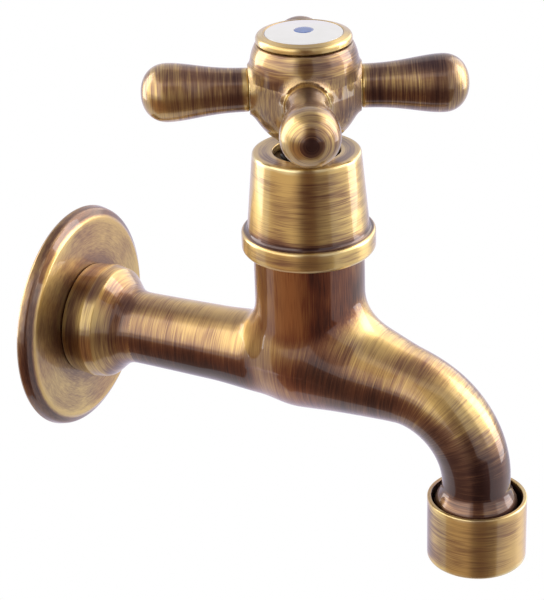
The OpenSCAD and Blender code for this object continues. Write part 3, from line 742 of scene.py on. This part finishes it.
# %% Fields of spout, pipe and neck
SLOPE = math.radians(11.32)
belly_z, belly_r = 3.87, 14.65
bend_radius, bend_start_r, bend_end_r, flare_r = 23.0, 9.6, 8.45, 10.4
spout_end_y = outlet_y + 0.3
start_y = spout_end_y + bend_radius * (1 - math.sin(SLOPE))
straight = -(head_reach + start_y) / math.cos(SLOPE)
bend_y = spout_end_y + bend_radius
bend_z = belly_z - straight * math.sin(SLOPE) - bend_radius * math.cos(SLOPE)
path_end = straight + bend_radius * (math.pi / 2 - SLOPE)
neck_r, neck_top = 13.6, bell_foot + 5.1
TAPER_SOFT, FLARE_SPAN, NECK_EDGE, PIPE_PAST = 2.0, (1.2, 6.4), 0.4, 12
# Changes of the pipe's radius, each with its start and end in mm from the wall
PIPE_SWELLS = (0.35, 20, 50), (0.9, 42, 60), (-3.0, 64, 86)
print(f"the spout's centreline is {path_end:.1f} mm long")


def spout_path(x, y, z):
    """Place along the spout's centreline and distance from it.

    The line falls straight from the headwork axis, bends through a circular arc and
    ends upright over the outlet, all in the plane x = 0.
    """
    u, v = -(y + head_reach), z - belly_z
    place = u * math.cos(SLOPE) - v * math.sin(SLOPE)
    off = np.hypot(x, u * math.sin(SLOPE) + v * math.cos(SLOPE))
    dy, dz = y - bend_y, z - bend_z
    turn = np.arctan2(-dy, dz)
    bent = (turn > SLOPE) & (dz > 0)
    upright = (dz <= 0) & (dy < 0)
    place = np.select([bent, upright], [straight + bend_radius * (turn - SLOPE),
                                        path_end - dz], place)
    off = np.select([bent, upright], [np.hypot(np.hypot(dy, dz) - bend_radius, x),
                                      np.hypot(x, y - spout_end_y)], off)
    return place, off


def spout_field(x, y, z):
    """Balls whose radius r shrinks along the path: distance sqrt(1 - r'^2) - r."""
    place, off = spout_path(x, y, z)
    fall = (bend_start_r - belly_r) / straight
    fall_bend = (bend_end_r - bend_start_r) / (path_end - straight)
    bend_in = (straight - place) / TAPER_SOFT
    radius = (bend_start_r + fall_bend * (place - straight)
              - (fall - fall_bend) * TAPER_SOFT * np.logaddexp(0, bend_in))
    slope = fall_bend + (fall - fall_bend) / (1 + np.exp(-bend_in))
    below = place - path_end
    radius = np.where(below > 0, bend_end_r, radius)
    radius = radius + patch(flare_r - bend_end_r, (below, *FLARE_SPAN))
    field = off * np.sqrt(1 - slope ** 2) - radius
    ball = np.sqrt(x ** 2 + (y + head_reach) ** 2 + (z - belly_z) ** 2) - belly_r
    return np.where(place + slope * off < 0, ball, field)


def pipe_field(x, y, z):
    """A pipe along y whose radius swells from the collar to the belly."""
    radius = sum((patch(swell, (-y, *way)) for swell, *way in PIPE_SWELLS), pipe_r)
    return np.maximum(np.hypot(x, z) - radius,
                      span(-y, collar_foot + 0.4, head_reach + PIPE_PAST))


def neck_field(x, y, z):
    """An upright cylinder with a level top."""
    side = np.hypot(x, y + head_reach) - neck_r
    return np.maximum(blend_max(side, z - neck_top, NECK_EDGE), belly_z - z)


# %% Waterways and the whole casting
inlet_past, seat_r, seat_top = 4.4, 4.8, 10.0
chamber_r, chamber_foot, chamber_top, seat_rim_r, seat_rim_top = 9.48, 8.0, 20.8, 6.6, 9.0
head_thread_r, head_thread_foot = 10.51, 19.75
way_r, way_tilt, way_ahead, way_z = 4.2, math.radians(50.7), 9.28, 12.5
way_start, way_end = -6.0, 15.5
spout_bore, bore_start, outlet_bore, outlet_deep = 5.95, 15.5, 8.65, 3.0
BLEND_TRUNK, BLEND_SIDE, BLEND_THROAT, BLEND_BACK, BLEND_EDGE = 4.0, 1.5, 5.3, 4.5, 0.3


def waterways(x, y, z):
    """Everything bored out: inlet, seat, valve chamber, slanted way, spout, socket."""
    ahead = -(y + head_reach)
    axis = np.hypot(x, ahead)
    inlet = np.maximum(np.hypot(x, z) - tail_bore, ahead - inlet_past)
    seat = np.maximum(axis - seat_r, span(z, 0, seat_top))
    chamber = np.maximum(axis - chamber_r, span(z, chamber_foot, chamber_top))
    chamber = np.maximum(chamber, -np.maximum(axis - seat_rim_r, z - seat_rim_top))
    thread = np.maximum(axis - head_thread_r, head_thread_foot - z)
    u, v = ahead - way_ahead, z - way_z
    way = u * math.cos(way_tilt) - v * math.sin(way_tilt)
    off_way = np.hypot(x, u * math.sin(way_tilt) + v * math.cos(way_tilt))
    exit_way = np.maximum(off_way - way_r, span(way, way_start, way_end))
    place, off = spout_path(x, y, z)
    tube = np.maximum(off - spout_bore, bore_start - place)
    outlet = np.maximum(np.hypot(x, y - outlet_y) - outlet_bore,
                        z - sleeve_top + outlet_deep)
    return np.minimum.reduce([inlet, seat, chamber, thread, exit_way, tube, outlet])


def body_field(p):
    """The whole casting, with a wide throat in front of the neck, less its bores."""
    x, y, z = p[..., 0], p[..., 1], p[..., 2]
    trunk = blend_min(pipe_field(x, y, z), spout_field(x, y, z), BLEND_TRUNK)
    front = -(y + head_reach) / np.maximum(np.hypot(x, y + head_reach), 1e-6)
    k = (BLEND_SIDE + BLEND_THROAT * np.maximum(front, 0) ** 2
         + BLEND_BACK * np.maximum(-front, 0) ** 2)
    field = blend_min(trunk, neck_field(x, y, z), k)
    field = blend_max(field, sleeve_top - spout_deep - z, BLEND_EDGE)
    return blend_max(field, -waterways(x, y, z), BLEND_EDGE)


print("distance inside the pipe's wall:", body_field(np.array([0, -40.0, 8.0])).round(2))

# %% Drawing the surface of a field
NEWTON_STEPS, LEAST_SLOPE, LONGEST_MOVE = 3, 0.2, 0.4


def surface_of(field, low, high, step):
    """Draws field = 0 as quads, one point in each cell that the surface crosses.

    Each grid edge that crosses the surface gives a spot and joins the four cells
    round it in a quad, and a cell's point is the mean of its spots. Newton steps,
    p - f grad f / |grad f|^2, then put every point on the true surface, and the
    gradient gives the normal.
    """
    low = np.array(low, float)
    counts = np.ceil((np.array(high) - low) / step).astype(int) + 1
    ticks = [low[i] + step * np.arange(counts[i]) for i in range(3)]
    values = field(np.stack(np.meshgrid(*ticks, indexing="ij"), -1))
    quads, spots = [], []
    for axis in range(3):
        one, b, c = np.roll(np.eye(3, dtype=int), -axis, 0)
        first = values[tuple(slice(0, n - o) for n, o in zip(counts, one))]
        second = values[tuple(slice(o, n) for n, o in zip(counts, one))]
        edges = np.argwhere((first < 0) != (second < 0))
        f0, f1 = first[tuple(edges.T)], second[tuple(edges.T)]
        spots.append(edges + (f0 / (f0 - f1))[:, None] * one)
        cells = np.stack([edges - d for d in (b + c, c, 0 * b, b)], 1)
        cells = np.where((f0 < 0)[:, None, None], cells, cells[:, ::-1])
        quads.append(cells @ (counts[1] * counts[2], counts[2], 1))
    quads = np.unique(np.concatenate(quads), return_inverse=True)[1].reshape(-1, 4)
    spots = np.repeat(np.concatenate(spots), 4, 0)
    sums = np.stack([np.bincount(quads.ravel(), side) for side in spots.T], 1)
    points = low + step * sums / np.bincount(quads.ravel())[:, None]

    def gradient(p, h=0.01):
        return np.stack([(field(p + h * e) - field(p - h * e)) / (2 * h)
                         for e in np.eye(3)], -1)

    for _ in range(NEWTON_STEPS):
        g = gradient(points)
        move = (field(points) / np.maximum((g ** 2).sum(1), LEAST_SLOPE))[:, None] * g
        points -= np.clip(move, -LONGEST_MOVE * step, LONGEST_MOVE * step)
    normals = gradient(points)
    normals /= np.linalg.norm(normals, axis=1)[:, None]
    return points, quads.tolist(), normals


ball = surface_of(lambda p: np.linalg.norm(p, axis=-1) - 1, (-1.2,) * 3, (1.2,) * 3, 0.3)[0]
print("a test ball's radius is within", abs(np.linalg.norm(ball, axis=1) - 1).max(), "of 1")

# %% [markdown]
# The casting's tone is a sum of soft patches, found by looking at the photograph:
# the brush went along the spout and up the neck. A painted highlight lightens the
# tops of pipe and spout and the hollows, and painted light the neck's side towards
# the wall; painted shade darkens the flanks and undersides, and the unbrushed bores.
# Other patches darken the mouth, a line down the neck and the belly's side. The
# brush direction runs across the lines, so that their highlights can be spread the
# right way.

# %% Body casting: surface and directions
GRID = 0.52
body_points, body_faces, body_normals = surface_of(
    body_field, (-16.3, -126.2, -37.1), (16.3, -3.2, bell_foot + 6.2), GRID)


def unit(vectors):
    """Vectors made one unit long."""
    return vectors / np.maximum(np.linalg.norm(vectors, axis=-1), 1e-9)[..., None]


def mean_way(*rows):
    """The unit sum of directions, each taken with its own share at every point."""
    return unit(sum(np.array(way) * share[:, None] for way, share in rows))


def path_direction(p, h=0.01):
    """The way the spout's path runs at each point, from the change of its place."""
    return unit(np.stack([spout_path(*(p + h * e).T)[0] - spout_path(*(p - h * e).T)[0]
                          for e in np.eye(3)], -1))


def round_axis(p, along):
    """Level direction round the headwork axis, on the side that along points to."""
    level = unit(np.stack([-(p[:, 1] + head_reach), p[:, 0], 0 * p[:, 2]], -1))
    return level * np.where((level * along).sum(-1) < 0, -1, 1)[:, None]


print("the casting's surface has", len(body_points), "points")

# %% Body casting: wear and brushing
bx, by, bz = body_points.T
facing_up, from_wall, ahead = body_normals[:, 2], -by, -by - head_reach
place, neck_side = spout_path(bx, by, bz)[0], (by + head_reach) / neck_r
fields = [field(bx, by, bz) for field in (spout_field, pipe_field, neck_field)]
over_head = fade(ahead, -8, 10)
body_across = ahead * (1 - over_head) + place * over_head
body_upright = fade(bz, 5, 18) * fade(fields[2] - fields[0], 4, -4)
body_wear_and_light = {
    "bores, unbrushed and painted shade": patch(-UNBRUSHED_AND_SHADE, (waterways(bx, by, bz), 0.3, 0)),
    # Painted highlight on the spout's top and painted shade on its flanks and underside
    "spout's top, painted highlight": patch(0.20, (place, 0, 22), (facing_up, 0, 0.625)),
    "spout's flanks, painted shade": patch(-0.5, (place, 0, 22), (facing_up, 0.85, -0.15)),
    "towards the mouth, brown": patch(-0.42, (place - path_end, -22, -4)),
    # Painted highlight: the pipe's top is lightened where its surface faces up
    "pipe's top, painted highlight": patch(0.3, (abs(from_wall - 39), 27.3, 6.3),
                                (facing_up, -0.4, 0.6)),
    # Painted shade: the pipe's underside is darkened where its surface faces down
    "pipe's underside, painted shade": patch(-0.6, (facing_up, 0.55, -0.45), (from_wall, 62, 52)),
    # Painted light: the neck is lighter on its side towards the wall and a little darker
    # elsewhere
    "neck, painted light to the wall": body_upright * (patch(0.62, (neck_side, -2 / 3, 0)) - 0.2),
    "neck's dark line": patch(-0.42, (abs(neck_side + 0.55), 0.32, 0), (bz, 2, 8),
                              (-bx, 0, 5)),
    "belly's side, brown": patch(-0.42, (abs(ahead - 7), 9.6, 3.6), (bz, -12, -4),
                                 (bz, 20, 8), (-bx, 0, 5)),
    # Painted highlight: the upper fillets and hollows are lightened
    "hollows, painted highlight": patch(0.25, (np.min(fields, 0), 0, 0.8), (bz, -4, 2))}
body_warm = 0.8 * (body_upright * fade(bx, 4, -8) + patch(
    1.0, (facing_up, 0.5, -0.5), (from_wall, 20, 40), (from_wall, 84, 68)))
body_brush = mean_way((path_direction(body_points), over_head), (OUT, 1 - over_head))
body_brush = mean_way((body_brush, 1 - body_upright),
                      (round_axis(body_points, body_brush), body_upright))
mesh_piece("body", body_points, body_faces, body_normals, "fixed",
           replaces=["tap_body"], across=body_across, edge=sum(body_wear_and_light.values()),
           warm=body_warm, upright=body_upright, brush=body_brush)

# %% [markdown]
# The hub is the same kind of shape: a drum over a round bowl, with four short bosses
# that melt into its side. Thin turned rings finish the bosses with a crisp edge,
# which leaves the fine seam where each arm is screwed on.

# %% Hub: fields
hub_low = size_mm("handle_hub")[0][2]
bowl_r, bowl_z, drum_r = 13.3, arm_height - 0.8, 12.85
shoulder_z, shoulder_r = arm_height + 6.3, 9.63
boss_r, boss_end, boss_from, boss_flare, boss_step = 5.6, 13.2, 8.5, 2.2, 0.3
hub_neck_r, bush_r, bush_top, screw_way = 6.35, 5.23, arm_height - 2.55, 2.3
recess_foot, wall_from, stud_room, boss_inset = arm_height + 5.8, bowl_z + 4, 0.5, 0.02
BLEND_DRUM, BLEND_FOOT, BLEND_BOSS, BLEND_HOLE = 1.4, 1.6, 2.4, 0.2


def from_axis(p):
    """Distance of points from the headwork's axis."""
    return np.hypot(p[..., 0], p[..., 1] + head_reach)


def boss_place(p, direction):
    """Distance out along an arm, and distance from the arm's axis."""
    x, y, z = p[..., 0], p[..., 1] + head_reach, p[..., 2] - arm_height
    out = x * direction[0] + y * direction[1]
    return out, np.hypot(x * direction[1] - y * direction[0], z)


def drum_field(p):
    """A ball cut to a drum, a rounded shoulder above, a neck below."""
    r, z = from_axis(p), p[..., 2]
    bowl = np.hypot(r, z - bowl_z) - bowl_r
    side = np.where(z > shoulder_z,
                    np.hypot(r - drum_r + shoulder_r, z - shoulder_z) - shoulder_r,
                    r - drum_r)
    drum = blend_max(blend_max(bowl, side, BLEND_DRUM), z - hub_top, BLEND_EDGE)
    drum = np.where(z > wall_from, blend_max(side, z - hub_top, BLEND_EDGE), drum)
    neck = np.maximum(r - hub_neck_r, span(z, hub_low, bowl_z))
    return blend_min(drum, neck, BLEND_FOOT)


def boss_field(p, direction):
    """A flared stub: radius boss_r + boss_flare (1 - u)^2 along its length u."""
    out, off = boss_place(p, direction)
    u = np.clip((out - boss_from) / (boss_end - boss_from), 0, 1)
    return np.maximum(off - boss_r - boss_flare * (1 - u) ** 2 + boss_inset,
                      span(out, 0, boss_end - boss_step))


def hub_field(p):
    """Drum and bosses melted together, less the recess, bush hole and stud holes."""
    bosses = np.minimum.reduce([boss_field(p, d) for d in arm_directions.values()])
    field = blend_min(drum_field(p), bosses, BLEND_BOSS)
    r, z = from_axis(p), p[..., 2]
    bush = np.maximum(r - bush_r, z - bush_top)
    recess = np.maximum(r - recess_r - seat_gap, recess_foot - z)
    holes = np.minimum.reduce([bush, recess, r - screw_way])
    for direction in arm_directions.values():
        out, off = boss_place(p, direction)
        holes = np.minimum(holes, np.maximum(off - stud_r - seat_gap,
                                             stud_start - stud_room - out))
    return blend_max(field, -holes, BLEND_HOLE)


print("distance inside the drum's wall:", hub_field(handle_axis + [5, 0, 3]).round(2))

# %% Hub: surface, brushing and boss rings
HUB_GRID, half, INSIDE_R = 0.36, boss_end + 6, 5.4
hub_points, hub_faces, hub_normals = surface_of(
    hub_field, (-half, -head_reach - half, hub_low - 1),
    (half, -head_reach + half, hub_top + 1), HUB_GRID)
ways = np.array(list(arm_directions.values()))
gaps = np.stack([boss_field(hub_points, way) for way in ways])
boss_way = ways[gaps.argmin(0)]
on_boss = fade(drum_field(hub_points) - gaps.min(0), -1.5, 1.5)
hub_out = ((hub_points - handle_axis) * boss_way).sum(1)
hub_across = hub_points[:, 2] * (1 - on_boss) + hub_out * on_boss
hub_upright = fade(hub_points[:, 2], arm_height + 7, arm_height + 4) * (1 - on_boss)
hub_brush = mean_way((boss_way, on_boss), (UP, 1 - on_boss - hub_upright),
                     (round_axis(hub_points, boss_way), hub_upright))
# Painted shade: the hub's bore and its underside below the bowl go nearly black, past their
# patina
hub_unbrushed_and_shade = -UNBRUSHED_AND_SHADE * ((from_axis(hub_points) < INSIDE_R)
                        | (hub_points[:, 2] < bowl_z - bowl_r))
mesh_piece("hub", hub_points, hub_faces, hub_normals, "handle",
           replaces=["handle_hub"], across=hub_across, edge=hub_unbrushed_and_shade,
           upright=hub_upright, brush=hub_brush)

ring_bore = stud_r + seat_gap
boss_ring = rounded([(ring_bore, boss_end - 1.2), (boss_r - 0.1, boss_end - 1.2),
                     (boss_r, boss_end, boss_step), (ring_bore, boss_end)])
for node, direction in arm_directions.items():
    turned("boss_ring_" + node[4:], boss_ring, arm_centre, direction, "handle", around=112,
           ring=True)

# %% [markdown]
# Antique brass starts as brushed yellow brass. A bath turns it brown, and a second
# brushing takes the brown off again, so it stays in the brush lines and in corners
# and is gone from the edges. A clear lacquer seals it. One node group paints all of
# that: it reads the length across the brush lines, so the lines run round turned
# pieces and along the spout's rings, and upright where the body was brushed so.

# %% An empty node group
GROUP_OUTPUTS = {"Color": "Color", "Roughness": "Float", "Height": "Float"}


def new_group(name, inputs):
    """A node group; an input is given by its kind, or by its value if it is a number."""
    group = bpy.data.node_groups.new(name, "ShaderNodeTree")
    for way, sockets in (("INPUT", inputs), ("OUTPUT", GROUP_OUTPUTS)):
        for label, kind in sockets.items():
            word = kind if isinstance(kind, str) else "Float"
            socket = group.interface.new_socket(label, in_out=way,
                                                socket_type="NodeSocket" + word)
            if word != kind:
                socket.default_value = kind
    return Nodes(group)


print("each group puts out", *GROUP_OUTPUTS)

# %% Node group: brushed patina
# Linear colours; the second brown and the second gold are the redder ones
DARKEST, RUBBED = (0.056, 0.026, 0.021), (0.68, 0.575, 0.30)
BROWNS = (0.190, 0.105, 0.060), (0.22, 0.075, 0.035)
GOLDS = (0.575, 0.415, 0.150), (0.49, 0.26, 0.090)
# Levels between which one colour gives way to the next
TO_BROWN, TO_GOLD, TO_RUBBED = (0.05, 0.42), (0.30, 0.72), (0.80, 1.15)
FINE_WEIGHT, BROAD_WEIGHT, CLOUD_WEIGHT, EDGE_WEIGHT = 0.5, 0.4, 1.0, 0.45
CLOUD_SIZE, HUE_SIZE = 18.0, 27.0  # mm
# Roughness falls from the third to the fourth number between the first two levels
TO_GLOSS, LINE_GLOSS, BROAD_RELIEF = (0.1, 0.8, 0.38, 0.32), 0.06, 1.5


def brushed_patina():
    """Streaks across the brush lines, with brown left in them and worn off edges."""
    paint = new_group("brushed_patina", {
        "Position": "Vector", "Across": 0.0, "Edge": 0.0, "Upright": 0.0, "Warm": 0.0,
        "Line Width": 0.25, "Line Length": 9.0, "Brown": 0.5, "Shift": 0.0,
        "Contrast": 1.0, "Red": 0.5})
    ins = paint.add("NodeGroupInput")
    shift = paint.add("CombineXYZ", {0: ins["Shift"]})[0]
    place = paint.add("VectorMath", {0: paint.scaled(ins["Position"], 1 / MM), 1: shift},
                      operation="ADD")[0]
    parts = paint.add("SeparateXYZ", {0: place})

    def streaks(width_factor, length_factor, detail):
        """Noise drawn out along the brush lines, of a width and length in mm."""
        width = paint.maths("MULTIPLY", ins["Line Width"], width_factor)
        length = paint.maths("MULTIPLY", ins["Line Length"], length_factor)
        along = paint.scaled(place, paint.maths("DIVIDE", 1.0, length))
        rings = paint.noise(along, detail, paint.maths("DIVIDE", ins["Across"], width))
        upright = paint.add("CombineXYZ", {
            axis: paint.maths("DIVIDE", parts[axis], size)
            for axis, size in enumerate((width, width, length))})[0]
        lines = paint.noise(upright, detail)
        return paint.add("Mix", {0: ins["Upright"], 2: rings, 3: lines})[0]

    fine, broad = streaks(1.0, 1.0, 1.0), streaks(4.0, 2.0, 2.0)
    cloud = paint.noise(paint.scaled(place, 1 / CLOUD_SIZE), 2.0)
    hue = paint.noise(paint.scaled(place, 1 / HUE_SIZE), 1.0, ins["Shift"])
    pattern = paint.maths("ADD", *[
        paint.maths("MULTIPLY", paint.maths("SUBTRACT", source, 0.5), weight)
        for source, weight in ((fine, FINE_WEIGHT), (broad, BROAD_WEIGHT),
                               (cloud, CLOUD_WEIGHT))])
    # Edge also brings the painted shade, reflection and highlight patches of the pieces
    level = paint.maths("ADD", paint.maths("MULTIPLY", pattern, ins["Contrast"]),
                        paint.maths("MULTIPLY", ins["Edge"], EDGE_WEIGHT), 1.0)
    level = paint.maths("SUBTRACT", level, ins["Brown"])
    red = paint.maths("MULTIPLY", paint.step(hue, 0.40, 0.60), ins["Red"])
    red = paint.maths("ADD", ins["Warm"], red, clamp=True)
    colour = paint.mix(paint.step(level, *TO_BROWN), DARKEST, paint.mix(red, *BROWNS))
    colour = paint.mix(paint.step(level, *TO_GOLD), colour, paint.mix(red, *GOLDS))
    paint.add("NodeGroupOutput", {
        "Color": paint.mix(paint.step(level, *TO_RUBBED), colour, RUBBED),
        "Roughness": paint.maths("ADD", paint.step(level, *TO_GLOSS),
                                 paint.maths("MULTIPLY", fine, LINE_GLOSS)),
        "Height": paint.maths("ADD", fine, paint.maths("MULTIPLY", broad, BROAD_RELIEF))})
    return paint.tree


patina = brushed_patina()
print("patina group has", len(patina.nodes), "nodes")


# %% Materials made from a group
def new_material(name):
    """An empty material and the maker of its nodes."""
    material = bpy.data.materials.new(name)
    material.use_nodes = True
    material.node_tree.nodes.clear()
    return material, Nodes(material.node_tree)


def painted(nodes, group, values, depth, **shader):
    """Gives a Principled BSDF a group's colour, roughness and relief of depth mm."""
    paint = nodes.add("Group", {"Position": nodes.add("TexCoord")["Object"], **values},
                      node_tree=group)
    relief = nodes.add("Bump", {"Height": paint["Height"], "Strength": 1.0,
                                "Distance": depth * MM})[0]
    bsdf = nodes.add("BsdfPrincipled", {
        "Base Color": paint["Color"], "Roughness": paint["Roughness"], "Normal": relief,
        **{key.replace("_", " "): value for key, value in shader.items()}})
    nodes.add("OutputMaterial", {"Surface": bsdf[0]})


def dress(material, *names):
    """Gives a material to pieces or CAD nodes by name."""
    for name in names:
        mesh = bpy.data.objects[name].data
        mesh.materials.clear()
        mesh.materials.append(material)
    print(f"{material.name}: {', '.join(names)}")


def antique_brass(name, brown, width=0.22, length=6.0, shift=0.0, spread=0.8,
                  contrast=1.0, red=0.2):
    """Lacquered antique brass with brush lines of a width and length in mm.

    Light glances off brush lines in a fan at right angles to them. Anisotropic gives
    that fan its spread, and the brush direction on each point tells it where to lie.
    """
    material, nodes = new_material(name)
    values = {"Line Width": width, "Line Length": length, "Brown": brown, "Shift": shift,
              "Contrast": contrast, "Red": red}
    for label in ("across", "edge", "upright", "warm"):
        values[label.capitalize()] = nodes.add("Attribute", attribute_name=label)["Fac"]
    brush = nodes.add("Attribute", attribute_name="brush")["Vector"]
    tangent = nodes.add("VectorTransform", {0: brush}, vector_type="VECTOR",
                        convert_from="OBJECT", convert_to="WORLD")[0]
    painted(nodes, patina, values, 0.006, Metallic=1.0, Anisotropic=spread,
            Tangent=tangent, Coat_Weight=0.9, Coat_Roughness=0.05, Coat_IOR=1.5)
    return material


dress(antique_brass("brass_body", 0.54, red=0.3, contrast=0.95), "body", "collar",
      "inlet_tail")
dress(antique_brass("brass_flange", 0.50, width=0.2, length=1.8, spread=0.3,
                    contrast=0.6, red=0.3), "flange")
dress(antique_brass("brass_bell", 0.40, shift=8.0), "bell")
dress(antique_brass("brass_hub", 0.56, shift=2.0, contrast=1.2), "hub", "button_ring",
      *["boss_ring_" + n[4:] for n in arm_directions])
dress(antique_brass("brass_arm", 0.76, shift=3.0, red=0.15, spread=0.6, contrast=1.2),
      *["grip_" + n[4:] for n in arm_directions])
dress(antique_brass("brass_sleeve", 0.72, shift=5.0, red=0.3), "sleeve")

# %% [markdown]
# The button is glazed earthenware: nearly white, very smooth, with the faint waves
# that a glaze keeps from the kiln. The blue dot lies in the same glaze. The works
# inside are turned brass, steel, rubber, fibre and plastic. All of them differ only
# in two colours, a gloss and the size of their grain, so one more group serves them.

# %% Node group: grain
def grain_group():
    """Two colours mixed by noise, which may be flattened along z for turning marks."""
    paint = new_group("grain", {
        "Position": "Vector", "Light": "Color", "Dark": "Color", "Size": 2.0,
        "Flatness": 1.0, "Gloss Low": 0.2, "Gloss High": 0.4})
    ins = paint.add("NodeGroupInput")
    place = paint.scaled(paint.scaled(ins["Position"], 1 / MM),
                         paint.maths("DIVIDE", 1.0, ins["Size"]))
    parts = paint.add("SeparateXYZ", {0: place})
    flat = paint.add("CombineXYZ", {
        0: parts[0], 1: parts[1], 2: paint.maths("MULTIPLY", parts[2], ins["Flatness"])})
    value = paint.noise(flat[0], 4.0)
    share = paint.step(value, 0.3, 0.7)
    spread = paint.maths("SUBTRACT", ins["Gloss High"], ins["Gloss Low"])
    paint.add("NodeGroupOutput", {
        "Color": paint.mix(share, ins["Dark"], ins["Light"]), "Height": value,
        "Roughness": paint.maths("ADD", ins["Gloss Low"],
                                 paint.maths("MULTIPLY", spread, share))})
    return paint.tree


grain = grain_group()
print("grain group has", len(grain.nodes), "nodes")


def grained(name, light, dark, size, gloss, depth, flatness=1.0, **shader):
    """A material from the grain group; size and depth are in mm."""
    material, nodes = new_material(name)
    painted(nodes, grain, {"Light": light, "Dark": dark, "Size": size,
                           "Flatness": flatness, "Gloss Low": gloss[0],
                           "Gloss High": gloss[1]}, depth, **shader)
    return material


# %% Porcelain, glaze and the hidden works
GLAZED, METAL = {"Coat_Weight": 0.8, "Coat_Roughness": 0.03}, {"Metallic": 1.0}
dress(grained("porcelain", (0.93, 0.92, 0.91), (0.89, 0.88, 0.86), 5.0, (0.10, 0.16),
              0.02, **GLAZED), "button")
dress(grained("blue_glaze", (0.03, 0.15, 0.50), (0.02, 0.09, 0.36), 1.5, (0.10, 0.18),
              0.01, **GLAZED), "cold_mark")
dress(grained("wire_steel", (0.70, 0.69, 0.67), (0.52, 0.51, 0.50), 0.6, (0.22, 0.34),
              0.004, **METAL), "wire_cloth")
dress(grained("turned_brass", (0.82, 0.60, 0.28), (0.66, 0.44, 0.18), 3.0, (0.22, 0.38),
              0.008, flatness=20.0, **METAL), "spindle", "valve_carrier", "washer_screw")
# Painted shade: the headwork, seen through the bell's top hole, is made nearly black
dress(grained("shade_dark_brass", (0.13, 0.085, 0.045), (0.05, 0.032, 0.020), 3.0, (0.45, 0.6),
              0.008, flatness=8.0, **METAL), "headwork_body")
dress(grained("plain_steel", (0.66, 0.66, 0.65), (0.46, 0.46, 0.45), 2.0, (0.22, 0.36),
              0.006, flatness=8.0, **METAL), "spindle_circlip", "handle_screw",
      "screw_washer")
dress(grained("black_rubber", (0.030, 0.029, 0.028), (0.016, 0.016, 0.016), 0.8,
              (0.45, 0.62), 0.01), "spindle_o_rings", "valve_washer", "aerator_gasket")
dress(grained("red_fibre", (0.34, 0.10, 0.06), (0.22, 0.06, 0.04), 0.5, (0.6, 0.8),
              0.02), "headwork_gasket")
dress(grained("white_plastic", (0.78, 0.77, 0.74), (0.70, 0.69, 0.66), 1.2, (0.3, 0.45),
              0.006), "glide_washer", "spline_bush", "aerator_filter", "jet_plate",
      "aerator_cage")

# %% [markdown]
# The floor is a pale disc that fades out towards its rim, so that no edge of it
# shows against the white behind.

# %% Floor finish
floor_finish = grained("pale_floor", (0.90, 0.90, 0.90), (0.88, 0.88, 0.88), 40.0,
                       (0.7, 0.8), 0.01)
nodes = Nodes(floor_finish.node_tree)
from_middle = nodes.add("VectorMath", {0: nodes.add("TexCoord")["Object"], 1: FLOOR_MIDDLE},
                        operation="DISTANCE")["Value"]
nodes.feed(nodes.tree.nodes["Principled BSDF"].inputs["Alpha"],
           nodes.step(from_middle, 0.1, FLOOR_R - 0.01, 1.0, 0.0))
dress(floor_finish, "floor")

# %% [markdown]
# The script ends by printing how many pieces it made.

# %% Pieces made
print("pieces made:", len(made_pieces))
